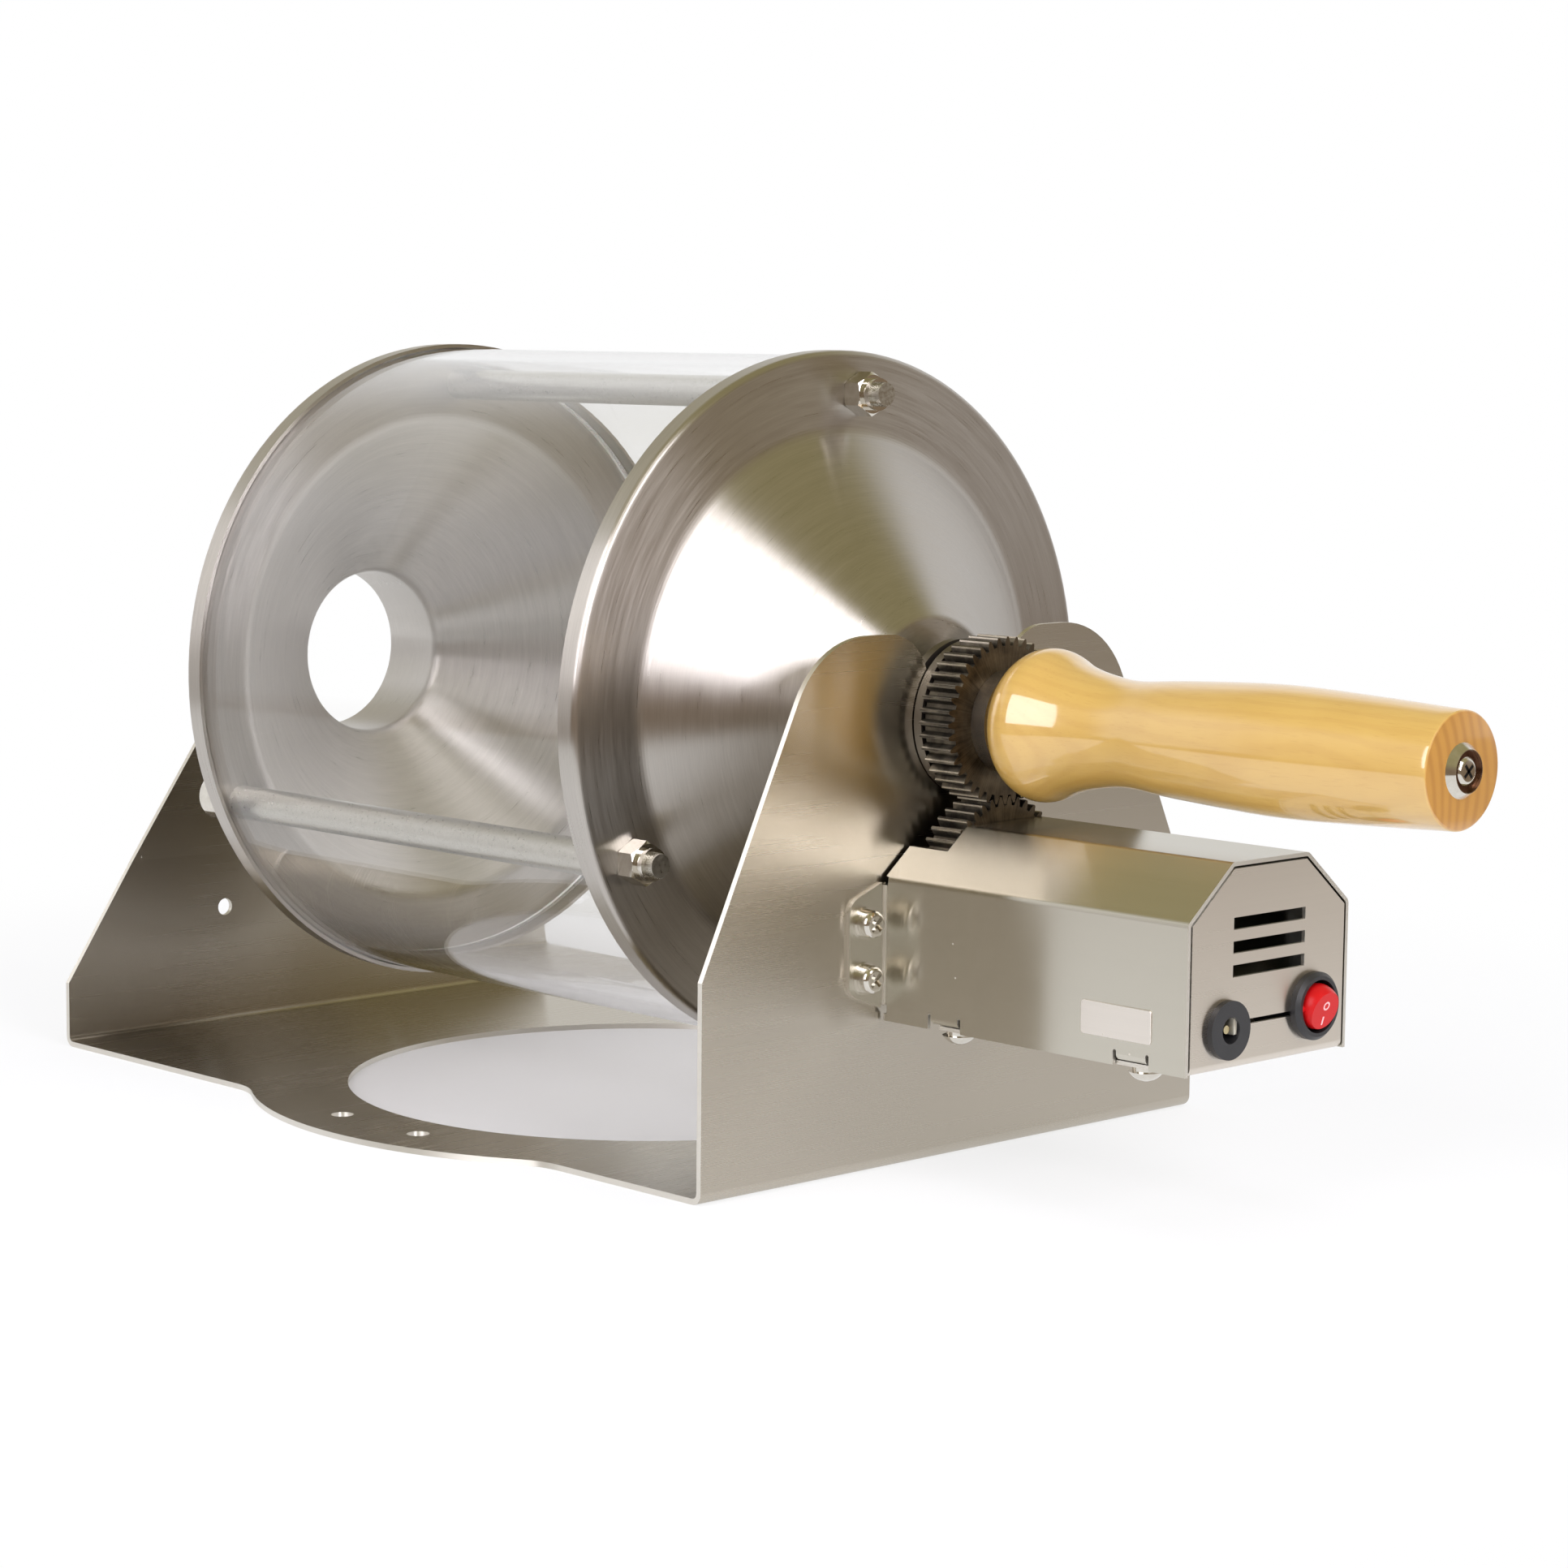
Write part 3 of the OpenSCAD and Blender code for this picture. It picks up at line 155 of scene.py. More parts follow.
@dataclass(frozen=True)
class Finish:
    """A surface finish, which lays out its own nodes.

    Attributes:
        name: What the material is called.
    """

    name: str

    def material(self) -> bpy.types.Material:
        """Makes the material, or returns the one that was made before.

        Returns:
            The finished material.
        """
        found = bpy.data.materials.get(self.name)
        if found is not None:
            return found
        made = bpy.data.materials.new(self.name)
        made.use_nodes = True
        made.node_tree.nodes.clear()
        new = partial(add_node, made.node_tree)
        shader = new("BsdfPrincipled")
        new("OutputMaterial", {"Surface": shader})
        self.lay(new, shader.node, new("TexCoord", pick="Object"))
        return made

    def lay(self, new: Maker, shader: Node, place: Socket) -> None:
        """Lays out the pattern nodes; each finish has its own.

        Args:
            new: Adds a node to the material and returns its output.
            shader: The material's Principled shader.
            place: The Object coordinates, in metres.
        """
        raise NotImplementedError


@dataclass(frozen=True)
class BrushedSheet(Finish):
    """Stainless sheet with a directional belt-ground finish, with cut edges painted pale as bare cut metal
    and as painted highlights.

    The fine lines spread highlights across the grain and leave them sharp along it. The sheet's cut edges,
    which are not ground, are painted as thin pale lines, partly the bare cut metal and partly a painted
    highlight, and the cover has painted highlight lines along its bends.

    Attributes:
        along: A face whose normal has more than this share along the grain is a cut edge.
        level: A face whose normal has more than this share upwards is level.
        upright: One that has less than this share is upright.
        rim_above: Above this height, level faces of the stand are cut edges.
        base_top: Below this height, upright faces of the stand are cut edges.
        panel_from: Where along x the chassis's end panel begins.
        vents_above: Above this height, level faces of that panel are cut edges.
        flange_to: Where along x the cover's front flange ends.
        tabs_from: How far from the middle the cover's side tabs begin.
        bend_highlight_at: How far from the middle the painted highlight lines on the bends beside the flange
            lie.
        bend_highlight_reach: How far such a painted highlight line reaches to each side.
    """

    colour: str = "#C9C3B8"
    grain: Grain = Grain.ALONG_Y
    edges: SheetEdges = SheetEdges.NONE
    roughness: float = 0.3
    spread: float = 0.95
    line_width: float = 0.25 * MM
    line_length: float = 140 * MM
    streak_width: float = 2.5 * MM
    cloud: float = 45 * MM
    dust_size: float = 0.35 * MM
    dust_gap: float = 7 * MM
    dust_colour: str = "#D8D2C4"
    cut_metal_and_highlight_colour: str = "#E2DED6"
    cut_roughness: float = 0.4
    along: float = 0.25
    level: float = 0.5
    upright: float = 0.3
    rim_above: float = 6 * MM
    base_top: float = 1.6 * MM
    panel_from: float = 217 * MM
    vents_above: float = 41 * MM
    flange_to: float = 121.5 * MM
    tabs_from: float = 30.2 * MM
    bend_highlight_at: float = 29.95 * MM
    bend_highlight_reach: float = 0.4 * MM

    def lay(self, new: Maker, shader: Node, place: Socket) -> None:
        """Fine lines and wider streaks along the grain, cloudy tone, pale cut edges that are partly painted
        highlights, and a little dust.
        """
        along = Vector(self.grain.value)
        fine = [1 / (self.line_length if a else self.line_width) for a in along]
        wide = [1 / (self.line_length * 4 if a else self.streak_width) for a in along]
        lines = new("Mapping", {"Vector": place, "Scale": fine})
        streaks = new("Mapping", {"Vector": place, "Scale": wide})
        hair = new("TexNoise", {"Vector": lines, "Scale": 1.0, "Detail": 2.0})
        bands = new("TexNoise", {"Vector": streaks, "Scale": 1.0, "Detail": 3.0})
        clouds = new("TexNoise", {"Vector": place, "Scale": 1 / self.cloud, "Detail": 1.0})
        tone = new("Math", hair, bands, operation="ADD")
        tone = new("Math", tone, clouds, operation="ADD")
        shade = new("MapRange", tone, 0.9, 2.1, 0.97, 1.03)
        ground = new("VectorMath", {0: linear(self.colour)[:3], "Scale": shade}, operation="SCALE")
        rough = new("MapRange", tone, 0.9, 2.1, self.roughness - 0.015, self.roughness + 0.015)
        groove = new("Bump", {"Height": hair, "Strength": 0.03, "Distance": 0.003 * MM})
        cut, way = self.folded(new, place)
        # Cut edges take the pale cut colour, partly the bare cut metal and partly a painted highlight; on the
        # cover this also paints the highlight lines at its bends.
        colour = new("Mix", {"Factor": cut, 6: ground, 7: linear(self.cut_metal_and_highlight_colour)}, data_type="RGBA")
        rough = new("Mix", {0: cut, 2: rough, 3: self.cut_roughness})
        specks = new("TexVoronoi", {"Vector": place, "Scale": 1 / self.dust_gap, "Randomness": 1.0}).node
        size = new("SeparateColor", specks.outputs["Color"])
        reach = new("Math", size, self.dust_size / self.dust_gap, operation="MULTIPLY")
        speck = new("Math", specks.outputs["Distance"], reach, operation="LESS_THAN")
        dusty = new("Mix", {"Factor": speck, 6: colour, 7: linear(self.dust_colour)}, data_type="RGBA")
        bare = new("MapRange", speck, 0.0, 1.0, 1.0, 0.35)
        turned = new("VectorTransform", way, vector_type="VECTOR", convert_from="OBJECT", convert_to="WORLD")
        feed(shader, {
            "Base Color": dusty,
            "Metallic": bare,
            "Roughness": rough,
            "Normal": groove,
            "Tangent": turned,
            "Anisotropic": self.spread,
            "Anisotropic Rotation": 0.25,
        })

    def folded(self, new: Maker, place: Socket) -> tuple[Socket, Socket]:
        """Finds the sheet's cut edges, the painted highlight lines on the cover's bends, and the flange that
        is folded across the grain.

        A cut edge looks along the grain, or lies in a band of heights or lengths where only edges look its
        way. A loose plate has no such bands, and shows half the cut metal's colour all over.

        Args:
            new: Adds a node to the material and returns its output.
            place: The Object coordinates.

        Returns:
            One on cut edges and on the painted highlight lines, nothing elsewhere, and the grain's direction.
        """
        facing = new("TexCoord", pick="Normal")
        turn = new("VectorMath", facing, operation="ABSOLUTE")
        turn = new("SeparateXYZ", turn).node
        spot = new("SeparateXYZ", place).node
        straight = new("CombineXYZ", dict(enumerate(self.grain.value)))
        if self.edges is SheetEdges.NONE:
            return new("Value"), straight
        ends = turn.outputs[1 if self.grain is Grain.ALONG_Y else 0]
        ends = new("Math", ends, self.along, operation="GREATER_THAN")
        level = new("Math", turn.outputs[2], self.level, operation="GREATER_THAN")
        if self.edges is SheetEdges.STAND:
            high = new("Math", spot.outputs[2], self.rim_above, operation="GREATER_THAN")
            rim = new("Math", level, high, operation="MULTIPLY")
            low = new("Math", spot.outputs[2], self.base_top, operation="LESS_THAN")
            side = new("Math", turn.outputs[2], self.upright, operation="LESS_THAN")
            hole = new("Math", low, side, operation="MULTIPLY")
            cut = new("Math", ends, rim, operation="MAXIMUM")
            cut = new("Math", cut, hole, operation="MAXIMUM")
            way = straight
        elif self.edges is SheetEdges.CHASSIS:
            panel = new("Math", spot.outputs[0], self.panel_from, operation="GREATER_THAN")
            above = new("Math", spot.outputs[2], self.vents_above, operation="GREATER_THAN")
            slot = new("Math", panel, above, operation="MULTIPLY")
            slot = new("Math", slot, level, operation="MULTIPLY")
            cut = new("Math", ends, slot, operation="MAXIMUM")
            way = straight
        else:
            flange = new("Math", spot.outputs[0], self.flange_to, operation="LESS_THAN")
            face = new("Math", flange, ends, operation="MULTIPLY")
            apart = new("Math", spot.outputs[1], operation="ABSOLUTE")
            outside = new("Math", apart, self.tabs_from, operation="GREATER_THAN")
            cut = new("Math", outside, ends, operation="MAXIMUM")
            cut = new("Math", cut, face, operation="SUBTRACT")
            # Painted highlight: a pale line along each bend where a side wall meets the front flange.
            bend = new("Math", apart, self.bend_highlight_at, self.bend_highlight_reach, operation="COMPARE")
            bend = new("Math", bend, flange, operation="MULTIPLY")
            cut = new("Math", cut, bend, operation="MAXIMUM")
            way = new("Mix", {"Factor": face, 4: straight, 5: Grain.ALONG_Y.value}, data_type="VECTOR")
        return cut, way


@dataclass(frozen=True)
class TurnedMetal(Finish):
    """Metal with marks that run round the x axis, from spinning, turning or polishing on a lathe.

    Concentric marks pull every highlight out into fans that run from the middle to the rim.
    """

    colour: str = "#CFCAC2"
    axis: Level = Level.DRUM
    roughness: float = 0.28
    spread: float = 0.95
    line_width: float = 0.3 * MM
    turns_seen: float = 3.0

    def lay(self, new: Maker, shader: Node, place: Socket) -> None:
        """Noise that changes fast across the turning marks and slowly round the axis."""
        centred = new("Mapping", {"Vector": place, "Location": (0.0, 0.0, -self.axis.value)})
        flat = new("VectorMath", centred, ACROSS_X, operation="MULTIPLY")
        outward = new("VectorMath", flat, operation="NORMALIZE")
        radius = new("VectorMath", flat, operation="LENGTH")
        across = new("Math", radius, 1 / self.line_width, operation="MULTIPLY")
        length = new("VectorMath", centred, (1 / self.line_width, 0.0, 0.0), operation="MULTIPLY")
        spot = new("VectorMath", outward, (self.turns_seen,) * 3, length, operation="MULTIPLY_ADD")
        marks = new(
            "TexNoise", {"Vector": spot, "W": across, "Scale": 1.0, "Detail": 2.0}, noise_dimensions="4D"
        )
        wide = new("Math", across, 0.12, operation="MULTIPLY")
        bands = new(
            "TexNoise", {"Vector": outward, "W": wide, "Scale": 2.0, "Detail": 2.0}, noise_dimensions="4D"
        )
        tone = new("Math", marks, bands, operation="ADD")
        shade = new("MapRange", tone, 0.6, 1.4, 0.88, 1.1)
        metal = new("VectorMath", {0: linear(self.colour)[:3], "Scale": shade}, operation="SCALE")
        rough = new("MapRange", tone, 0.6, 1.4, self.roughness - 0.05, self.roughness + 0.06)
        groove = new("Bump", {"Height": marks, "Strength": 0.15, "Distance": 0.02 * MM})
        round_about = new("VectorMath", X_AXIS, outward, operation="CROSS_PRODUCT")
        turned = new(
            "VectorTransform", round_about, vector_type="VECTOR", convert_from="OBJECT", convert_to="WORLD"
        )
        feed(shader, {
            "Base Color": metal,
            "Roughness": rough,
            "Normal": groove,
            "Tangent": turned,
            "Metallic": 1.0,
            "Anisotropic": self.spread,
            "Anisotropic Rotation": 0.25,
        })


@dataclass(frozen=True)
class PlatedMetal(Finish):
    """Plated or cast metal without a direction: nickel, zinc, brass or die-cast housings.

    A faint mottle in tone and gloss keeps it from looking like a mirror or a flat paint.
    """

    colour: str = "#D9D5CE"
    dark_colour: str = "#B9B4AC"
    roughness: float = 0.2
    mottle: float = 1.5 * MM
    relief: float = 0.01 * MM

    def lay(self, new: Maker, shader: Node, place: Socket) -> None:
        """Mottled tone and gloss, with a very shallow relief."""
        cloud = new("TexNoise", {"Vector": place, "Scale": 1 / self.mottle, "Detail": 3.0})
        metal = new(
            "Mix", {"Factor": cloud, 6: linear(self.dark_colour), 7: linear(self.colour)}, data_type="RGBA"
        )
        rough = new("MapRange", cloud, 0.3, 0.7, self.roughness * 0.75, self.roughness * 1.3)
        relief = new("Bump", {"Height": cloud, "Strength": 0.3, "Distance": self.relief})
        feed(shader, {"Base Color": metal, "Roughness": rough, "Normal": relief, "Metallic": 1.0})


@dataclass(frozen=True)
class GearSteel(Finish):
    """Hobbed steel gear, darkened by oil and heat, with paler worn patches on its teeth and a painted
    highlight along their edges.

    The sides are a dark, oily brown with radial tool marks, the teeth's lands are grey with a painted
    highlight line along each edge, and the boss, which was turned and rubbed clean, shows the pale metal.
    """

    axis: Level = Level.DRUM
    teeth: int = 40
    tooth_phase: float = 0.0
    tip_radius: float = 21.0 * MM
    boss_radius: float = 13.0 * MM
    face_x: float = 133.5 * MM
    grit: float = 0.35 * MM
    stain: float = 5 * MM
    mark_width: float = 0.5 * MM
    side_colours: tuple[str, str] = ("#3A3126", "#776A56")
    land_colours: tuple[str, str, str] = ("#3A3631", "#6F6A61", "#8F887B")
    edge_highlight_colour: str = "#D5CFC4"
    boss_colours: tuple[str, str] = ("#7C766E", "#A29C94")

    def lay(self, new: Maker, shader: Node, place: Socket) -> None:
        """Brown tooled sides, grey lands with painted highlight lines along their edges, and a clean boss."""
        oily, tooth, worn_tooth = [linear(c) for c in self.land_colours]
        dark_side, pale_side = [linear(c) for c in self.side_colours]
        dark_boss, pale_boss = [linear(c) for c in self.boss_colours]
        centred = new("Mapping", {"Vector": place, "Location": (0.0, 0.0, -self.axis.value)})
        flat = new("VectorMath", centred, ACROSS_X, operation="MULTIPLY")
        outward = new("VectorMath", flat, operation="NORMALIZE")
        radius = new("VectorMath", flat, operation="LENGTH")
        spot = new("SeparateXYZ", centred).node
        facing = new("TexCoord", pick="Normal")
        side = new("VectorMath", facing, X_AXIS, operation="DOT_PRODUCT")
        side = new("Math", side, operation="ABSOLUTE")
        side = new("Math", side, 0.7, operation="GREATER_THAN")
        grain = new("TexNoise", {"Vector": place, "Scale": 1 / self.grit, "Detail": 3.0})
        patch = new("TexNoise", {"Vector": place, "Scale": 1 / self.stain, "Detail": 4.0})
        rays = new(
            "TexNoise",
            {"Vector": outward, "W": radius, "Scale": 24 * MM / self.mark_width, "Detail": 3.0},
            noise_dimensions="4D",
        )
        marks = new("Mix", {0: 0.65, 2: rays, 3: patch})
        marks = new("MapRange", marks, 0.35, 0.68)
        tooled = new("Mix", {"Factor": marks, 6: dark_side, 7: pale_side}, data_type="RGBA")
        land = new("Mix", {"Factor": grain, 6: oily, 7: tooth}, data_type="RGBA")
        worn = new("MapRange", patch, 0.45, 0.7)
        land = new("Mix", {"Factor": worn, 6: land, 7: worn_tooth}, data_type="RGBA")
        # Painted highlight: a bright line along both edges of every tooth's land, placed by the tooth count.
        angle = new("Math", spot.outputs[1], spot.outputs[2], operation="ARCTAN2")
        turns = new(
            "Math", angle, self.teeth / (2 * math.pi), self.tooth_phase + 0.5, operation="MULTIPLY_ADD"
        )
        share = new("Math", turns, operation="FRACT")
        share = new("Math", share, 0.5, operation="SUBTRACT")
        share = new("Math", share, operation="ABSOLUTE")
        rim = new("MapRange", share, 0.075, 0.1)
        top = new("MapRange", radius, self.tip_radius - 0.5 * MM, self.tip_radius - 0.25 * MM)
        rim = new("Math", rim, top, operation="MULTIPLY")
        boss = new("Math", radius, self.boss_radius + 0.2 * MM, operation="LESS_THAN")
        before = new("Math", spot.outputs[0], self.face_x + 0.1 * MM, operation="GREATER_THAN")
        boss = new("Math", boss, before, operation="MULTIPLY")
        clean = new("Mix", {"Factor": grain, 6: dark_boss, 7: pale_boss}, data_type="RGBA")
        steel = land
        for share, over in ((rim, linear(self.edge_highlight_colour)), (side, tooled), (boss, clean)):
            steel = new("Mix", {"Factor": share, 6: steel, 7: over}, data_type="RGBA")
        bright = new("Math", rim, boss, operation="MAXIMUM")
        rough = new("MapRange", bright, 0.0, 1.0, 0.4, 0.27)
        height = new("Mix", {0: 0.3, 2: grain, 3: rays})
        relief = new("Bump", {"Height": height, "Strength": 0.3, "Distance": 0.06 * MM})
        feed(shader, {"Base Color": steel, "Roughness": rough, "Normal": relief, "Metallic": 0.95})


@dataclass(frozen=True)
class DrawnGlass(Finish):
    """Borosilicate tube, drawn: clear, with a barely visible waviness along the draw and a trace of wiping.

    The slow waves bend the reflections slightly, and the wiped haze shows only at glancing angles.
    """

    wave_length: float = 90 * MM
    wave_width: float = 22 * MM

    def lay(self, new: Maker, shader: Node, place: Socket) -> None:
        """Long waves in the surface and a faint haze in the gloss."""
        scale = (1 / self.wave_length, 1 / self.wave_width, 1 / self.wave_width)
        drawn = new("Mapping", {"Vector": place, "Scale": scale})
        waves = new("TexNoise", {"Vector": drawn, "Scale": 1.0, "Detail": 0.0})
        haze = new("TexNoise", {"Vector": drawn, "Scale": 4.0, "Detail": 3.0})
        rough = new("MapRange", haze, 0.45, 0.8, 0.0, 0.04)
        relief = new("Bump", {"Height": waves, "Strength": 0.15, "Distance": 0.05 * MM})
        feed(shader, {
            "Roughness": rough,
            "Normal": relief,
            "Base Color": WHITE,
            "Transmission Weight": 1.0,
            "IOR": 1.47,
        })


@dataclass(frozen=True)
class SiliconeRubber(Finish):
    """White moulded silicone: soft sheen, slightly milky, with fine dust on it."""

    dark_colour: str = "#DAD8D2"
    colour: str = "#F0EFEA"
    dust_size: float = 0.8 * MM

    def lay(self, new: Maker, shader: Node, place: Socket) -> None:
        """A faint mottle and a matt, dusty gloss."""
        dust = new("TexNoise", {"Vector": place, "Scale": 1 / self.dust_size, "Detail": 3.0})
        ends = {6: linear(self.dark_colour), 7: linear(self.colour)}
        colour = new("Mix", {"Factor": dust, **ends}, data_type="RGBA")
        relief = new("Bump", {"Height": dust, "Strength": 0.2, "Distance": 0.02 * MM})
        feed(shader, {
            "Base Color": colour,
            "Normal": relief,
            "Roughness": 0.55,
            "Subsurface Weight": 0.15,
            "Subsurface Scale": 1.0 * MM,
        })


@dataclass(frozen=True)
class LacqueredMaple(Finish):
    """Turned maple under a clear, slightly yellow gloss lacquer.

    Year rings cut the turned form in long pale flames and show as arcs on the end, short pore flecks lie
    along the grain, and the lacquer gives sharp window highlights over the soft wood tone.
    """

    ring_width: float = 3.2 * MM
    pore_length: float = 6 * MM
    pore_width: float = 0.35 * MM
    pith_place: Triple = (0.0, 0.031, -0.098)
    pith_turn: Triple = (0.0, 0.035, 0.05)
    sway: Triple = (0.0, 0.011, 0.011)
    sway_length: float = 38 * MM
    figure_size: float = 14 * MM
    body_colours: tuple[str, str] = ("#C29A4C", "#CBA658")
    ring_colour: str = "#B88E44"
    pore_colour: str = "#A3742F"
    sawn_colours: tuple[str, str] = ("#BC8638", "#AE7830")

    def lay(self, new: Maker, shader: Node, place: Socket) -> None:
        """Year rings about a pith beside the handle, flecks along it, and a warm body colour."""
        early, late = [linear(c) for c in self.body_colours]
        sawn_early, sawn_late = [linear(c) for c in self.sawn_colours]
        pith = new("Mapping", {"Vector": place, "Location": self.pith_place, "Rotation": self.pith_turn})
        bend = new("TexNoise", {"Vector": place, "Scale": 1 / self.sway_length, "Detail": 1.5}, pick="Color")
        sway = new("VectorMath", bend, self.sway, pith, operation="MULTIPLY_ADD")
        flat = new("VectorMath", sway, ACROSS_X, operation="MULTIPLY")
        radius = new("VectorMath", flat, operation="LENGTH")
        phase = new("Math", radius, 2 * math.pi / self.ring_width, operation="MULTIPLY")
        rings = new("Math", phase, operation="SINE")
        soft = new("MapRange", rings, -0.2, 1.0, 0.0, 0.25, **SMOOTH)
        scale = (1 / self.pore_length, 1 / self.pore_width, 1 / self.pore_width)
        along = new("Mapping", {"Vector": place, "Scale": scale})
        flecks = new("TexNoise", {"Vector": along, "Scale": 1.0, "Detail": 2.0})
        figure = new("TexNoise", {"Vector": place, "Scale": 1 / self.figure_size, "Detail": 3.0})
        wood = new("Mix", {"Factor": figure, 6: early, 7: late}, data_type="RGBA")
        pores = new("MapRange", flecks, 0.58, 0.8, 0.0, 0.28)
        facing = new("TexCoord", pick="Normal")
        end = new("SeparateXYZ", facing)
        end = new("MapRange", end, 0.6, 0.95, 0.0, 0.95)
        arcs = new("MapRange", rings, -0.6)
        sawn = new("Mix", {"Factor": arcs, 6: sawn_early, 7: sawn_late}, data_type="RGBA")
        ring, pore = linear(self.ring_colour), linear(self.pore_colour)
        for share, over in ((soft, ring), (pores, pore), (end, sawn)):
            wood = new("Mix", {"Factor": share, 6: wood, 7: over}, data_type="RGBA")
        rough = new("MapRange", flecks, 0.3, 0.8, 0.3, 0.42)
        relief = new("Bump", {"Height": figure, "Strength": 0.05, "Distance": 0.1 * MM})
        feed(shader, {
            "Base Color": wood,
            "Roughness": rough,
            "Normal": relief,
            "Coat Weight": 1.0,
            "Coat Roughness": 0.07,
            "Coat IOR": 1.9,
        })


@dataclass(frozen=True)
class MouldedPlastic(Finish):
    """Injection-moulded ABS or nylon: an even colour under a fine satin tool texture."""

    colour: str = "#3A3A3E"
    light_colour: str = "#48484C"
    roughness: float = 0.4
    texture: float = 0.3 * MM
    cloud: float = 5 * MM
    relief: float = 0.02 * MM
    gloss: float = 0.5

    def lay(self, new: Maker, shader: Node, place: Socket) -> None:
        """Fine texture in the relief, with a faint cloudiness in the colour."""
        skin = new("TexNoise", {"Vector": place, "Scale": 1 / self.texture, "Detail": 2.0})
        cloud = new("TexNoise", {"Vector": place, "Scale": 1 / self.cloud, "Detail": 2.0})
        colour = new(
            "Mix", {"Factor": cloud, 6: linear(self.colour), 7: linear(self.light_colour)}, data_type="RGBA"
        )
        rough = new("MapRange", skin, 0.0, 1.0, self.roughness - 0.06, self.roughness + 0.06)
        relief = new("Bump", {"Height": skin, "Strength": 0.3, "Distance": self.relief})
        feed(shader, {
            "Base Color": colour,
            "Roughness": rough,
            "Normal": relief,
            "IOR": 1.5,
            "Specular IOR Level": self.gloss,
        })


STAND_SHEET = BrushedSheet(
    "brushed_stainless_stand", colour="#C0B9AD", edges=SheetEdges.STAND, roughness=0.27
)
COVER_SHEET = BrushedSheet(
    "brushed_stainless_motor_cover",
    colour="#CDC9BE",
    grain=Grain.ALONG_X,
    edges=SheetEdges.COVER,
    roughness=0.22,
)
CHASSIS_SHEET = BrushedSheet(
    "brushed_stainless_motor_chassis", colour="#E0D8CE", edges=SheetEdges.CHASSIS, roughness=0.28
)
PLATE_SHEET = BrushedSheet("brushed_aluminium_plate", colour="#F4EEE8", grain=Grain.ALONG_X, roughness=0.35)
SPUN_SHEET = TurnedMetal("spun_stainless_covers", colour="#C3BEB8", roughness=0.31, turns_seen=8.0)
SHAFT = TurnedMetal("turned_steel_shaft", colour="#B5B0A8", roughness=0.22, spread=0.4)
BUSH = TurnedMetal("turned_steel_bush", colour="#8E8880", roughness=0.3, spread=0.4)
NICKEL = PlatedMetal("nickel_plated_fasteners", colour="#E0DCD4", dark_colour="#C9C4BA", roughness=0.12)
ZINC = PlatedMetal(
    "zinc_plated_rods", colour="#C9C6BD", dark_colour="#A9A59C", roughness=0.34, mottle=0.9 * MM
)
BEARING = PlatedMetal("ground_bearing_steel", colour="#D6D4D0", dark_colour="#BEBCB8", roughness=0.2)
MOTOR = PlatedMetal("die_cast_motor_housing", colour="#B8BCC0", dark_colour="#8E9296", roughness=0.4)
BRASS = PlatedMetal("nickelled_brass_contacts", colour="#D8CCA8", dark_colour="#B9AA80", roughness=0.25)
# Black oxide on the grub screws; the same dark finish is painted shade in the handle screw's cross recess.
BLACK_OXIDE_AND_SHADE = PlatedMetal("black_oxide_screws_and_recess_shade", colour="#3A3836", dark_colour="#1E1D1C", roughness=0.35)
# Painted shade: dark brown for the sunk seat round the handle's screw.
SEAT_SHADE = PlatedMetal("painted_shade_screw_seat", colour="#6E4A34", dark_colour="#4E3222", roughness=0.3)
TINNED = PlatedMetal("tinned_spring_contact", colour="#F0EDE4", dark_colour="#D8D2C2", roughness=0.45)
DRUM_GEAR = GearSteel("oil_darkened_steel_drum_gear", axis=Level.DRUM)
MOTOR_GEAR = GearSteel("oil_darkened_steel_motor_gear", axis=Level.MOTOR, tooth_phase=0.5, boss_radius=0.0)
GLASS = DrawnGlass("drawn_borosilicate_glass")
SILICONE = SiliconeRubber("white_silicone_rubber")
MAPLE = LacqueredMaple("lacquered_turned_maple")
BLACK_PLASTIC = MouldedPlastic("black_moulded_nylon", colour="#242426", light_colour="#2E2E30")
RED_PLASTIC = MouldedPlastic(
    "red_moulded_polycarbonate",
    colour="#C01013",
    light_colour="#CC1619",
    roughness=0.3,
    texture=0.5 * MM,
    gloss=0.25,
)
WHITE_PRINT = MouldedPlastic(
    "thin_white_printed_ink", colour="#F2B9BC", light_colour="#F8CBCD", roughness=0.5
)


def wear(finish: Finish, *nodes: str) -> None:
    """Gives CAD nodes a finish by their own material slots.

    Args:
        finish: The finish they get.
        *nodes: Their names.
    """
    for name in nodes:
        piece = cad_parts[name]
        for slot in piece.material_slots:
            slot.material = finish.material()


def settle(name: str, mesh: Mesh, finish: Finish, body: str) -> bpy.types.Object:
    """Turns a finished bmesh into a named piece that rides on a body.

    Args:
        name: The piece's name.
        mesh: Its shape, in the frame's place; it is freed.
        finish: Its finish.
        body: The CAD body that it moves with.

    Returns:
        The new object.
    """
    data = bpy.data.meshes.new(name)
    mesh.to_mesh(data)
    mesh.free()
    piece = bpy.data.objects.new(name, data)
    bpy.context.scene.collection.objects.link(piece)
    data.shade_smooth()
    data.set_sharp_from_angle(angle=SHARP_ANGLE)
    data.materials.append(finish.material())
    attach(piece, body)
    LOG.info("made %s on %s", name, body)
    return piece


def round_off(mesh: Mesh, edges: Iterable[bmesh.types.BMEdge], width: float, steps: int) -> None:
    """Rounds edges off.

    Args:
        mesh: The shape.
        edges: Those of its edges that are rounded.
        width: How far the rounding reaches from the edge.
        steps: How many faces it is made of.
    """
    bmesh.ops.bevel(
        mesh, geom=list(edges), offset=width, segments=steps, profile=0.5, affect="EDGES", material=-1
    )


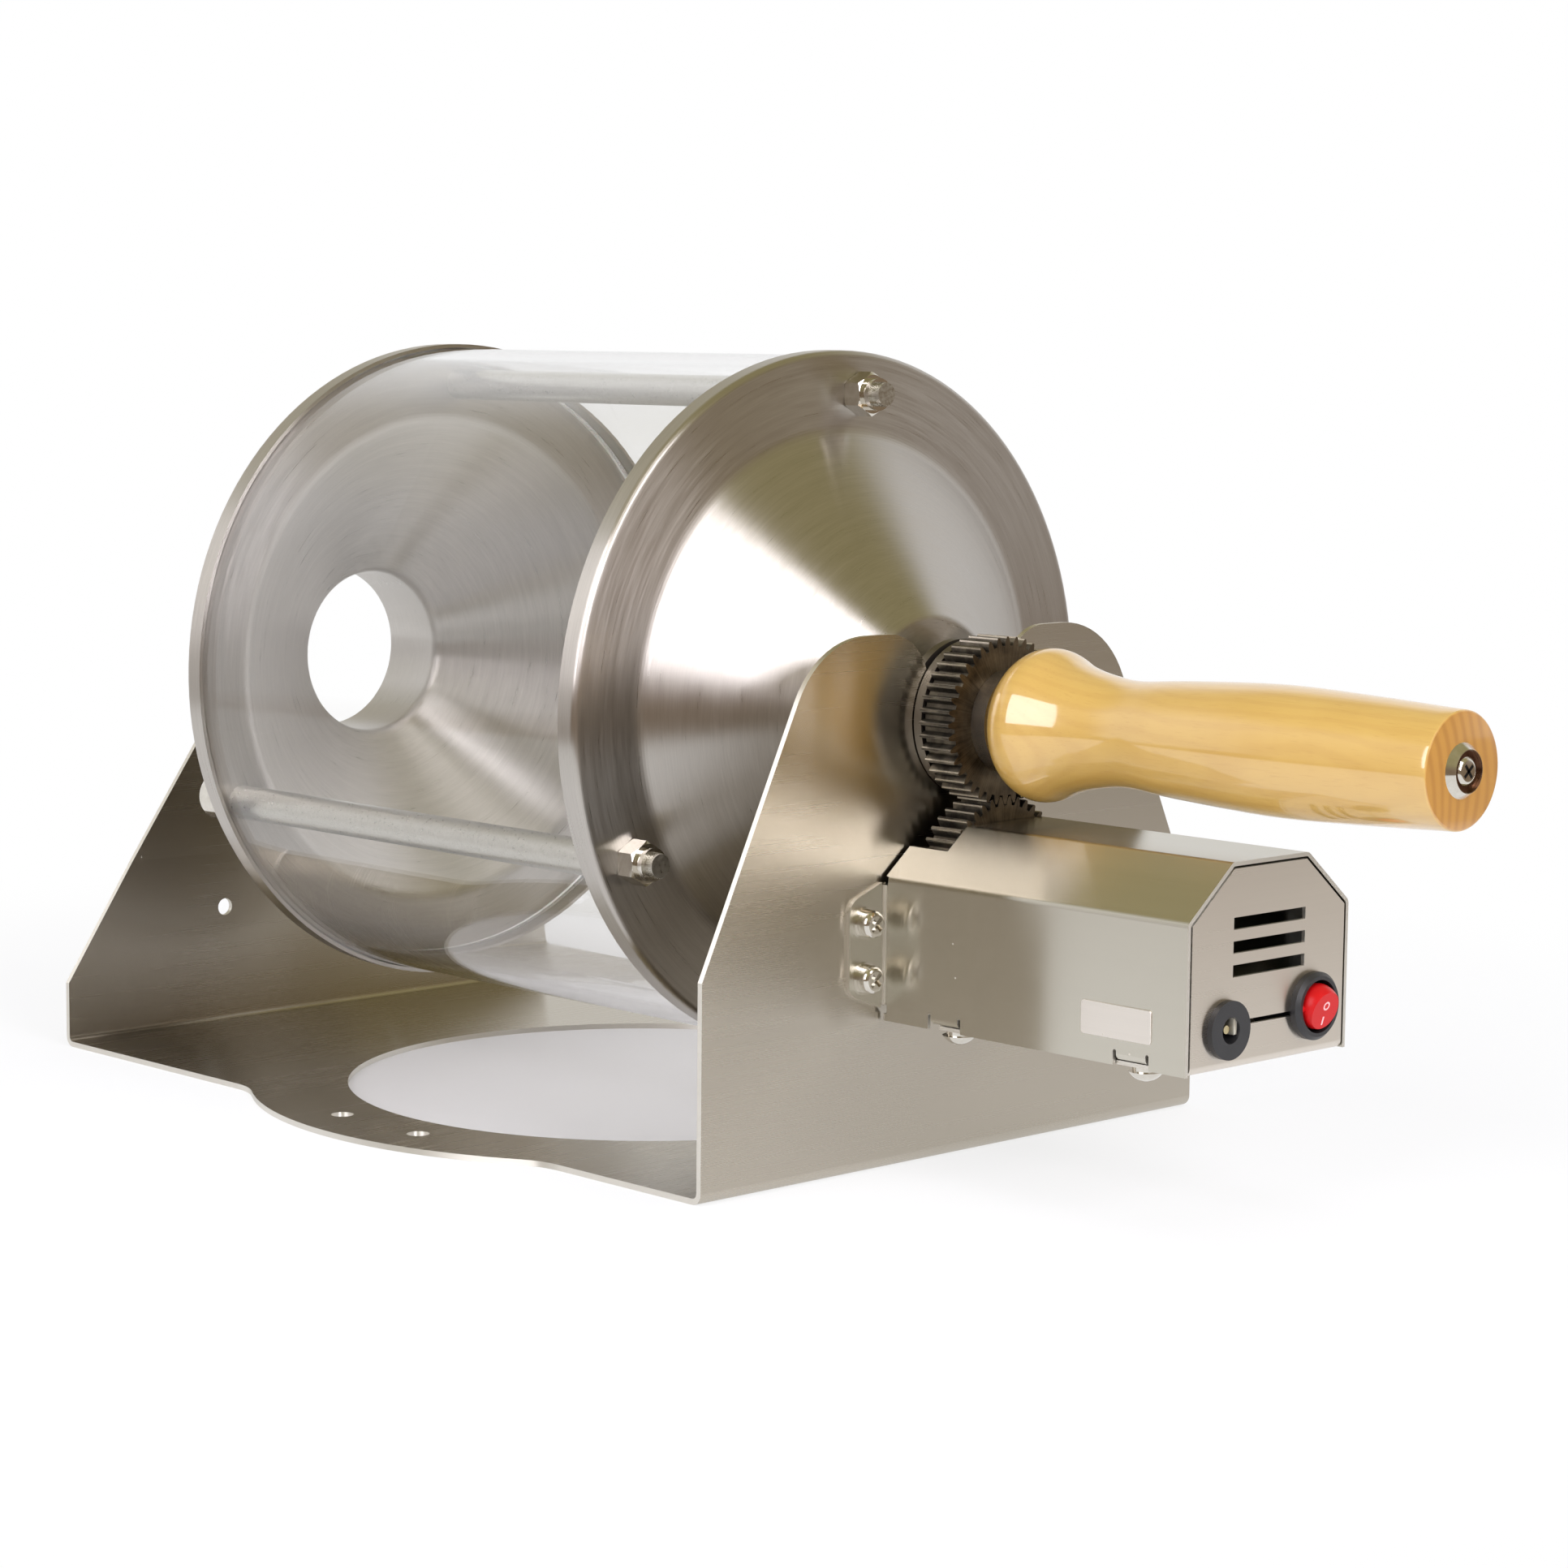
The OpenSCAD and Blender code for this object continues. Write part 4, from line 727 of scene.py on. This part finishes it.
def rotate(mesh: Mesh, verts: Sequence[bmesh.types.BMVert], matrix: Matrix) -> None:
    """Turns some points of a mesh about the origin, by a rotation matrix."""
    bmesh.ops.rotate(mesh, cent=ORIGIN, matrix=matrix, verts=verts)


def quarter(axis: str) -> Matrix:
    """Returns a quarter turn about an axis."""
    return Matrix.Rotation(math.radians(90), 3, axis)


def revolve(mesh: Mesh, axis: Sequence[float], steps: int) -> None:
    """Sweeps a closed outline once round an axis through the origin.

    Args:
        mesh: The outline, which becomes the turned shape.
        axis: The axis.
        steps: How many faces the turn is made of.
    """
    bmesh.ops.spin(
        mesh,
        geom=mesh.verts[:] + mesh.edges[:],
        cent=ORIGIN,
        axis=axis,
        dvec=ORIGIN,
        angle=2 * math.pi,
        steps=steps,
        use_merge=True,
        use_duplicate=False,
    )


def cylinder(
    mesh: Mesh, back: float, front: float, depth: float, segments: int
) -> list[bmesh.types.BMVert]:
    """Adds a cylinder or blunt cone round the x axis, with its middle in the origin.

    Args:
        mesh: The shape it is added to.
        back: Its radius at the back.
        front: Its radius at the front.
        depth: How long it is.
        segments: How many faces it has round about.

    Returns:
        Its points.
    """
    made = bmesh.ops.create_cone(
        mesh, cap_ends=True, cap_tris=False, segments=segments, radius1=back, radius2=front, depth=depth
    )
    rotate(mesh, made["verts"], quarter("Y"))
    return made["verts"]


def block(size: Sequence[float]) -> Mesh:
    """Returns a block of the given sizes, with its middle in the origin."""
    mesh = bmesh.new()
    bmesh.ops.create_cube(mesh, size=1.0)
    bmesh.ops.scale(mesh, vec=size, verts=mesh.verts)
    return mesh


def thread(
    name: str,
    start: Sequence[float],
    diameter: float,
    turns: int,
    finish: Finish,
    body: str,
    pitch: float = 1.0 * MM,
) -> None:
    """Winds the ridge of a screw thread round the end of a rod that lies along the x axis.

    Args:
        name: The piece's name.
        start: Where on the rod's axis the ridge begins.
        diameter: The rod's diameter.
        turns: How many turns it has.
        finish: Its finish.
        body: The CAD body that it moves with.
        pitch: How far it rises in a turn.
    """
    ridge = bmesh.new()
    bmesh.ops.create_circle(ridge, cap_ends=True, segments=3, radius=0.5 * pitch)
    bmesh.ops.scale(ridge, vec=(1.0, 0.55, 1.0), verts=ridge.verts)
    bmesh.ops.translate(ridge, vec=(0.0, diameter / 2 + 0.02 * MM, 0.0), verts=ridge.verts)
    steps = STEPS_IN_TURN * turns
    bmesh.ops.spin(
        ridge,
        geom=ridge.verts[:] + ridge.edges[:] + ridge.faces[:],
        cent=ORIGIN,
        axis=X_AXIS,
        dvec=(turns * pitch / steps, 0.0, 0.0),
        angle=2 * math.pi * turns,
        steps=steps,
        use_merge=False,
        use_duplicate=True,
    )
    bmesh.ops.remove_doubles(ridge, verts=ridge.verts, dist=SLIVER)
    bmesh.ops.recalc_face_normals(ridge, faces=ridge.faces)
    bmesh.ops.translate(ridge, vec=start, verts=ridge.verts)
    settle(name, ridge, finish, body)


@dataclass
class Stand:
    """The folded stand with its rollers and fasteners."""

    axle: float = 6.0 * MM
    axle_head: float = 10.5 * MM
    tip: float = 0.5 * MM
    turns: int = 2

    def build(self) -> None:
        """Dresses the stand and the rollers."""
        wear(STAND_SHEET, "stand_frame")
        wear(NICKEL, "roller_axles", "roller_axle_nuts", "roller_spacers")
        wear(BEARING, "roller_inner_rings", "roller_near", "roller_far")
        wear(BUSH, "bearing_bush")
        LOG.info("dressed the stand")
        low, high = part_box("roller_axles")
        level = (low[2] + high[2]) / 2
        for side, place in (("near", low[1]), ("far", high[1])):
            across = place + math.copysign(self.axle_head / 2, -place)
            start = (low[0] + self.tip, across, level)
            thread(f"roller_axle_{side}_thread", start, self.axle, self.turns, NICKEL, "stand")


@dataclass
class Drum:
    """The glass drum between its spun covers, with its shaft and gear."""

    thread_seen: float = 2.2 * MM
    rod_thread: float = 6.0 * MM
    turns: int = 2
    cap_diameter: float = 13.6 * MM
    cap_length: float = 13.0 * MM
    cap_round: float = 1.5 * MM

    def build(self) -> None:
        """Dresses the drum."""
        wear(SPUN_SHEET, "front_cover", "rear_cover")
        wear(GLASS, "glass_cylinder")
        wear(SILICONE, "front_gasket", "rear_gasket")
        wear(ZINC, "tie_rod_top", "tie_rod_near", "tie_rod_far")
        wear(NICKEL, "tie_rod_lock_nuts", "tie_rod_cap_nuts", "hub_washer", "hub_nut")
        wear(SHAFT, "drum_shaft")
        wear(DRUM_GEAR, "drum_gear")
        wear(BLACK_OXIDE_AND_SHADE, "drum_gear_screw", "motor_gear_screw")
        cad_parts["glass_cylinder"].visible_shadow = False
        LOG.info("dressed the drum")
        self.fastenings()

    def fastenings(self) -> None:
        """Cuts the tie rods' threads and turns the long round cap nuts behind the rear cover."""
        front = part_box("tie_rod_cap_nuts")[1][0]
        caps = bmesh.new()
        for node in ("tie_rod_top", "tie_rod_near", "tie_rod_far"):
            low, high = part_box(node)
            middle = ((low[1] + high[1]) / 2, (low[2] + high[2]) / 2)
            start = (high[0] - self.thread_seen, *middle)
            thread(f"{node}_thread", start, self.rod_thread, self.turns, ZINC, "drum")
            radius = self.cap_diameter / 2
            verts = cylinder(caps, radius, radius, self.cap_length, 48)
            rim = {e for v in verts for e in v.link_edges if all(w.co.x < 0 for w in e.verts)}
            bmesh.ops.translate(caps, vec=(front - self.cap_length / 2, *middle), verts=verts)
            round_off(caps, rim, self.cap_round, 6)
        piece = settle("tie_rod_long_cap_nuts", caps, NICKEL, "drum")
        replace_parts(piece, "tie_rod_cap_nuts")


@dataclass
class Handle:
    """The turned handle with its flat end, and the screw in the washer that closes it."""

    end_radius: float = 13.72 * MM
    end_edge: float = 0.6 * MM
    cad_edge: float = 3.05 * MM
    shaft_bore: float = 6.1 * MM
    bolt_bore: float = 3.2 * MM
    cup_front: float = 5.0 * MM
    cup_rim: float = 0.15 * MM
    seat_depth: float = 0.9 * MM
    head_radius: float = 3.35 * MM
    head_sink: float = 0.15 * MM
    head_round: float = 0.4 * MM
    cross: Triple = (0.3 * MM, 0.8 * MM, 3.9 * MM)
    cross_angles: tuple[float, float] = (40.0, 130.0)

    def build(self) -> None:
        """Dresses the handle, and turns what the CAD holds in a plainer shape."""
        wear(MAPLE, "handle")
        wear(NICKEL, "end_washer", "handle_bolt")
        LOG.info("dressed the handle")
        self.grip()
        self.screw()

    def grip(self) -> None:
        """Turns the wood with the CAD's own outline, but with a crisp edge round its flat end."""
        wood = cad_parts["handle"]
        (start, _, _), (end, _, _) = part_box("handle")
        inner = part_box("drum_shaft")[1][0] + 1.0 * MM
        outline: dict[float, float] = {}
        for vert in wood.data.vertices:
            point = wood.matrix_world @ vert.co
            radius = math.hypot(point.y, point.z - Level.DRUM.value)
            if radius > self.shaft_bore + 2 * MM and point.x < end - self.cad_edge:
                station = round(point.x, 6)
                outline[station] = max(outline.get(station, 0.0), radius)
        curve = sorted(outline.items()) + [(end, self.end_radius)]
        bolt, shaft = self.bolt_bore, self.shaft_bore
        bore = [(end, bolt), (inner, bolt), (inner, shaft), (start, shaft)]
        mesh = bmesh.new()
        points = [mesh.verts.new((along, 0.0, out)) for along, out in curve + bore]
        for first, second in zip(points, points[1:] + points[:1]):
            mesh.edges.new((first, second))
        revolve(mesh, X_AXIS, 96)
        bmesh.ops.remove_doubles(mesh, verts=mesh.verts, dist=SLIVER)
        flat = [v for v in mesh.verts if v.co.x > end - SKIN]
        outer = {v for v in flat if v.co.yz.length > self.end_radius - 0.1 * MM}
        round_off(mesh, [e for e in mesh.edges if outer.issuperset(e.verts)], self.end_edge, 4)
        bmesh.ops.recalc_face_normals(mesh, faces=mesh.faces)
        bmesh.ops.translate(mesh, vec=(0.0, 0.0, Level.DRUM.value), verts=mesh.verts)
        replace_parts(settle("turned_maple_grip", mesh, MAPLE, "drum"), "handle")

    def screw(self) -> None:
        """Turns the cup washer with painted shade in its sunk seat, and sets the cross-head screw in it with
        painted shade in its cross recess.
        """
        (back, _, low), (front, _, high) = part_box("end_washer")
        cup = self.disc((high - low) / 2, self.cup_front, front - back, (front + back) / 2)
        face = [f for f in cup.faces if f.normal.x > 0.9]
        for thick, deep in ((self.cup_rim, 0.0), (0.02 * MM, -self.seat_depth)):
            bmesh.ops.inset_region(cup, faces=face, thickness=thick, depth=deep)
        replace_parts(settle("cup_washer", cup, NICKEL, "drum"), "end_washer")
        depth = self.seat_depth - self.head_sink
        head = self.disc(self.head_radius, 0.8 * self.head_radius, depth, front - self.head_sink - depth / 2)
        rim = [e for e in head.edges if all(v.co.x > front - self.head_sink - SKIN for v in e.verts)]
        round_off(head, rim, self.head_round, 5)
        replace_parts(settle("cross_head_screw", head, NICKEL, "drum"), "handle_bolt")
        # Painted shade: a thin dark brown disc at the bottom of the sunk seat, in the ring between the screw
        # head and the washer's rim.
        seat_radius = self.cup_front - self.cup_rim - 0.05 * MM
        seat = self.disc(seat_radius, seat_radius, 0.1 * MM, front - self.seat_depth + 0.04 * MM)
        settle("screw_seat_painted_shade", seat, SEAT_SHADE, "drum")
        # Painted shade: two dark bars lying on the screw head where its cross recess would be in shade; the
        # recess itself is not cut.
        cross = bmesh.new()
        for angle in self.cross_angles:
            bar = bmesh.ops.create_cube(cross, size=1.0)["verts"]
            bmesh.ops.scale(cross, vec=self.cross, verts=bar)
            rotate(cross, bar, Matrix.Rotation(math.radians(angle), 3, "X"))
        along = front - self.head_sink - self.cross[0] / 2 + 0.02 * MM
        bmesh.ops.translate(cross, vec=(along, 0.0, Level.DRUM.value), verts=cross.verts)
        settle("screw_cross_recess_shade", cross, BLACK_OXIDE_AND_SHADE, "drum")

    def disc(self, back: float, front: float, depth: float, middle: float) -> Mesh:
        """Turns a disc or a blunt cone about the drum's axis.

        Args:
            back: Its radius at the back.
            front: Its radius at the front.
            depth: How thick it is.
            middle: Where its middle lies along the axis.

        Returns:
            Its mesh.
        """
        mesh = bmesh.new()
        cylinder(mesh, back, front, depth, 64)
        bmesh.ops.translate(mesh, vec=(middle, 0.0, Level.DRUM.value), verts=mesh.verts)
        return mesh


@dataclass
class MotorUnit:
    """The motor, its gear and its housing, with the inlet, the switch and the bare label plate."""

    wall_y: float = -29.6 * MM
    plate_size: Triple = (21.6 * MM, 0.3 * MM, 8.0 * MM)
    plate_centre: tuple[float, float] = (197.3 * MM, 48.4 * MM)
    plate_round: float = 0.8 * MM
    soft_edge: float = 0.08 * MM
    mark_height: float = 0.06 * MM
    mark_line: float = 0.42 * MM
    ring_radius: float = 0.9 * MM
    ring_up: float = 1.26 * MM
    bar_up: float = -2.6 * MM
    bar_length: float = 2.2 * MM
    bar_round: float = 0.12 * MM
    rocker_pivot: Triple = (219.9 * MM, 16.5 * MM, 49.8 * MM)
    rocker_face: float = 2.8 * MM
    rocker_tilt: float = 17.0
    spring_size: Triple = (5.0 * MM, 1.1 * MM, 4.2 * MM)
    spring_place: Triple = (-1.6 * MM, 2.2 * MM, 0.8 * MM)
    spring_bow: float = 0.45 * MM

    def build(self) -> None:
        """Dresses the CAD nodes and makes the plate and the switch's marks."""
        wear(COVER_SHEET, "motor_cover")
        wear(CHASSIS_SHEET, "motor_chassis")
        wear(NICKEL, "cover_screws", "cover_screw_washers", "cover_screw_nuts", "chassis_screws", "inlet_nut")
        wear(MOTOR, "gearbox", "motor_can")
        wear(NICKEL, "gearbox_screws", "output_shaft")
        wear(BRASS, "inlet_pin", "motor_terminals", "switch_terminals")
        wear(MOTOR_GEAR, "motor_gear")
        wear(BLACK_PLASTIC, "inlet_body", "switch_housing")
        wear(RED_PLASTIC, "switch_rocker")
        LOG.info("dressed the motor unit")
        self.plate()
        self.rocker_marks()
        self.inlet_spring()

    def plate(self) -> None:
        """Makes the bare label plate on the housing's near wall, with rounded corners."""
        mesh = block(self.plate_size)
        corners = [e for e in mesh.edges if abs((e.verts[0].co - e.verts[1].co).y) > 0.1 * MM]
        round_off(mesh, corners, self.plate_round, 4)
        front = [e for e in mesh.edges if all(v.co.y < -0.1 * MM for v in e.verts)]
        round_off(mesh, front, self.soft_edge, 2)
        x, z = self.plate_centre
        bmesh.ops.translate(mesh, vec=(x, self.wall_y - self.plate_size[1] / 2, z), verts=mesh.verts)
        settle("label_plate", mesh, PLATE_SHEET, "stand")

    def rocker_marks(self) -> None:
        """Prints a ring on the raised half of the rocker's face and a bar on the pressed half."""
        ring = bmesh.new()
        bmesh.ops.create_circle(ring, cap_ends=False, segments=4, radius=self.mark_line * math.sqrt(0.5))
        rotate(ring, ring.verts, quarter("X") @ Matrix.Rotation(math.radians(45), 3, "Z"))
        bmesh.ops.scale(ring, vec=(1.0, 1.0, self.mark_height / self.mark_line), verts=ring.verts)
        bmesh.ops.translate(ring, vec=(self.ring_radius, 0.0, 0.0), verts=ring.verts)
        revolve(ring, Z_AXIS, 48)
        self.print_mark("rocker_mark_ring", ring, self.ring_up)
        bar = block((1.2 * self.mark_line, self.bar_length, self.mark_height))
        corners = [e for e in bar.edges if abs((e.verts[0].co - e.verts[1].co).z) > 0.5 * self.mark_height]
        round_off(bar, corners, self.bar_round, 3)
        self.print_mark("rocker_mark_bar", bar, self.bar_up)

    def print_mark(self, name: str, mesh: Mesh, up: float) -> None:
        """Lays a flat mark on the rocker's tilted face.

        Args:
            name: The mark's name.
            mesh: Its shape, drawn flat round the origin with its top along y.
            up: How far it lies above the middle of the face.
        """
        bmesh.ops.remove_doubles(mesh, verts=mesh.verts, dist=SLIVER)
        bmesh.ops.recalc_face_normals(mesh, faces=mesh.faces)
        bmesh.ops.translate(mesh, vec=(0.0, up, self.rocker_face + self.mark_height * 0.3), verts=mesh.verts)
        stand_up = Matrix(((0.0, 0.0, 1.0), (1.0, 0.0, 0.0), (0.0, 1.0, 0.0)))
        tilt = Matrix.Rotation(math.radians(self.rocker_tilt), 3, "Y")
        rotate(mesh, mesh.verts, tilt @ stand_up)
        bmesh.ops.translate(mesh, vec=self.rocker_pivot, verts=mesh.verts)
        settle(name, mesh, WHITE_PRINT, "rocker")

    def inlet_spring(self) -> None:
        """Makes the sprung outer contact at the far side of the power inlet's socket."""
        low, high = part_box("inlet_pin")
        middle = ((low[1] + high[1]) / 2, (low[2] + high[2]) / 2)
        length = self.spring_size[0]
        mesh = block(self.spring_size)
        along = [e for e in mesh.edges if abs((e.verts[0].co - e.verts[1].co).x) > 0.5 * length]
        bmesh.ops.subdivide_edges(mesh, edges=along, cuts=7, use_grid_fill=True)
        for vert in mesh.verts:
            vert.co.y -= self.spring_bow * math.cos(math.pi * vert.co.x / length)
        sharp = [e for e in mesh.edges if e.is_manifold and e.calc_face_angle(0.0) > 1.0]
        round_off(mesh, sharp, self.soft_edge, 2)
        right, out, up = self.spring_place
        bmesh.ops.translate(mesh, vec=(high[0] + right, middle[0] + out, middle[1] + up), verts=mesh.verts)
        settle("inlet_spring_contact", mesh, TINNED, "stand")


@dataclass(frozen=True)
class SoftBox:
    """A rectangular lamp.

    Attributes:
        name: Its name.
        place: Where it hangs.
        target: What it looks at.
        size: Its width and height.
        power: Its power in watts.
        lean: How far its long side leans from upright, in degrees.
        mirrored: Whether glossy surfaces show it.
        colour: Its light's colour.
    """

    name: str
    place: Triple
    target: Triple
    size: tuple[float, float]
    power: float
    lean: float = 0.0
    mirrored: bool = True
    colour: str = "#F7F6FF"

    def hang(self) -> None:
        """Adds the lamp to the scene."""
        data = bpy.data.lights.new(self.name, "AREA")
        data.shape = "RECTANGLE"
        data.size, data.size_y = self.size
        data.energy = self.power
        data.color = linear(self.colour)[:3]
        lamp = bpy.data.objects.new(self.name, data)
        aim = Vector(self.target) - Vector(self.place)
        way = aim.to_track_quat("-Z", "Y").to_matrix() @ Matrix.Rotation(math.radians(self.lean), 3, "Z")
        lamp.matrix_world = Matrix.Translation(self.place) @ way.to_4x4()
        lamp.visible_glossy = self.mirrored
        bpy.context.scene.collection.objects.link(lamp)


LAMPS = (
    SoftBox("overhead", (0.1, 0.2, 1.5), (0.0, 0.0, 0.1), (1.4, 1.0), power=6.0, mirrored=False),
    SoftBox("left_window", (0.19, -1.0, 0.57), (0.15, 0.0, 0.11), (0.75, 0.78), power=8.0),
    SoftBox("front_right", (1.2, -0.27, 0.66), (0.08, -0.06, 0.13), (0.38, 1.04), power=10.0, lean=-32.0),
)


@dataclass
class Studio:
    """The white table, the painted room with its white sweep, the lamps and the camera."""

    eye: Triple = (0.77301, -0.69154, 0.20886)
    look: Triple = (-0.71567075, 0.68812025, -0.11960724)
    right: Triple = (0.6922337, 0.72161012, 0.00955731)
    lens: float = 87.15
    walls: str = "#8A7864"
    ceiling: str = "#A89F76"
    fill: str = "#B4B4B3"
    paper: str = "#F7F7F7"
    painted_burner_shade: tuple[str, str] = ("#CFCCC9", "#F3F2F0")
    table_size: float = 6.0
    table_place: Triple = (-1.6, 1.4, -0.02 * MM)
    table_edge: float = 0.62
    rightward: Triple = (0.69, 0.72, 0.0)
    nearer: Triple = (0.82, -0.57, 0.0)
    farther: Triple = (-0.82, 0.57, 0.0)
    burner: float = 82.5 * MM

    def build(self) -> None:
        """Builds the stage, the light and the camera."""
        view = bpy.context.scene.view_settings
        view.view_transform = "Standard"
        self.camera()
        self.floor()
        self.room()
        for lamp in LAMPS:
            lamp.hang()
        LOG.info("set the studio")

    def camera(self) -> None:
        """Makes the camera at the photograph's viewing angle."""
        data = bpy.data.cameras.new("view")
        data.lens = self.lens
        data.sensor_width = 36.0
        data.sensor_height = 36.0
        data.clip_start = 0.05
        camera = bpy.data.objects.new("view", data)
        back = -Vector(self.look).normalized()
        right = Vector(self.right).normalized()
        up = back.cross(right)
        turn = Matrix((right, up, back)).transposed()
        camera.matrix_world = Matrix.Translation(self.eye) @ turn.to_4x4()
        bpy.context.scene.collection.objects.link(camera)
        bpy.context.scene.camera = camera

    def floor(self) -> None:
        """Lays the white table that the roaster stands on, with painted shade inside the burner opening:
        grey, darker to the left.
        """
        mesh = bmesh.new()
        bmesh.ops.create_grid(mesh, x_segments=1, y_segments=1, size=self.table_size / 2)
        bmesh.ops.translate(mesh, vec=self.table_place, verts=mesh.verts)
        data = bpy.data.meshes.new("table")
        mesh.to_mesh(data)
        mesh.free()
        table = bpy.data.objects.new("table", data)
        bpy.context.scene.collection.objects.link(table)
        paper = bpy.data.materials.new("white_paper_sweep")
        paper.use_nodes = True
        paper.node_tree.nodes.clear()
        new = partial(add_node, paper.node_tree)
        dark, pale = [linear(c) for c in self.painted_burner_shade]
        place = new("TexCoord", pick="Object")
        away = new("VectorMath", place, operation="LENGTH")
        near = new("MapRange", away, 0.2, 0.45, 0.75, 1.0, **SMOOTH)
        # Painted shade: inside the burner opening the paper turns grey, darker towards the left and paler
        # towards the right.
        across = new("VectorMath", place, self.rightward, operation="DOT_PRODUCT")
        shade = new("MapRange", across, -self.burner, self.burner)
        shade = new("Mix", {"Factor": shade, 6: dark, 7: pale}, data_type="RGBA")
        inside = new("MapRange", away, self.burner + 12 * MM, self.burner - 2 * MM, **SMOOTH)
        bare = new("MapRange", inside, 0.0, 1.0, 1.0, 0.12)
        near = new("Math", near, bare, operation="MULTIPLY")
        paper_with_painted_shade = new("Mix", {"Factor": inside, 6: linear(self.paper), 7: shade}, data_type="RGBA")
        front = new("VectorMath", place, self.nearer, operation="DOT_PRODUCT")
        front = new("MapRange", front, -0.3, 0.0)
        beyond = new("MapRange", away, self.table_edge - 0.05, self.table_edge + 0.05, **SMOOTH)
        rays = new("LightPath").node.outputs
        off = new("Math", front, beyond, operation="MULTIPLY")
        off = new("Math", off, rays["Is Glossy Ray"], operation="MULTIPLY")
        tint = new("Mix", {"Factor": off, 6: WHITE, 7: linear(self.walls)}, data_type="RGBA")
        seen = new("Math", rays["Is Camera Ray"], rays["Is Glossy Ray"], operation="MAXIMUM")
        seen = new("Math", seen, rays["Is Transmission Ray"], operation="MAXIMUM")
        share = new("Math", near, seen, operation="MULTIPLY")
        lit = new("BsdfDiffuse", {"Color": paper_with_painted_shade})
        glow = new("Emission", {"Color": tint, "Strength": 1.0})
        new("OutputMaterial", {"Surface": new("MixShader", share, lit, glow)})
        data.materials.append(paper)

    def room(self) -> None:
        """Paints the room: a white sweep behind the roaster, olive-grey walls and ceiling elsewhere."""
        world = bpy.data.worlds.new("studio_room")
        bpy.context.scene.world = world
        world.use_nodes = True
        world.node_tree.nodes.clear()
        new = partial(add_node, world.node_tree)
        way = new("TexCoord", pick="Generated")
        parts = new("SeparateXYZ", way).node
        behind = new("VectorMath", way, self.farther, operation="DOT_PRODUCT")
        sweep = new("MapRange", behind, -0.15, 0.3, **SMOOTH)
        low = new("MapRange", parts.outputs[2], 0.75, 0.5, **SMOOTH)
        white = new("Math", sweep, low, operation="MULTIPLY")
        dim = new("MapRange", parts.outputs[2], 0.5, 0.0, **SMOOTH)
        rays = new("LightPath").node.outputs
        colour = linear(self.ceiling)
        for share, over in (
            (dim, linear(self.walls)),
            (white, WHITE),
            (rays["Is Diffuse Ray"], linear(self.fill)),
            (rays["Is Camera Ray"], WHITE),
        ):
            colour = new("Mix", {"Factor": share, 6: colour, 7: over}, data_type="RGBA")
        new("OutputWorld", {"Surface": new("Background", {"Color": colour, "Strength": 1.0})})


def main() -> None:
    """Builds the sub-assemblies in order."""
    logging.basicConfig(level=logging.INFO, format="%(name)s: %(message)s")
    Studio().build()
    Stand().build()
    Drum().build()
    Handle().build()
    MotorUnit().build()


if __name__ == "__main__":
    main()
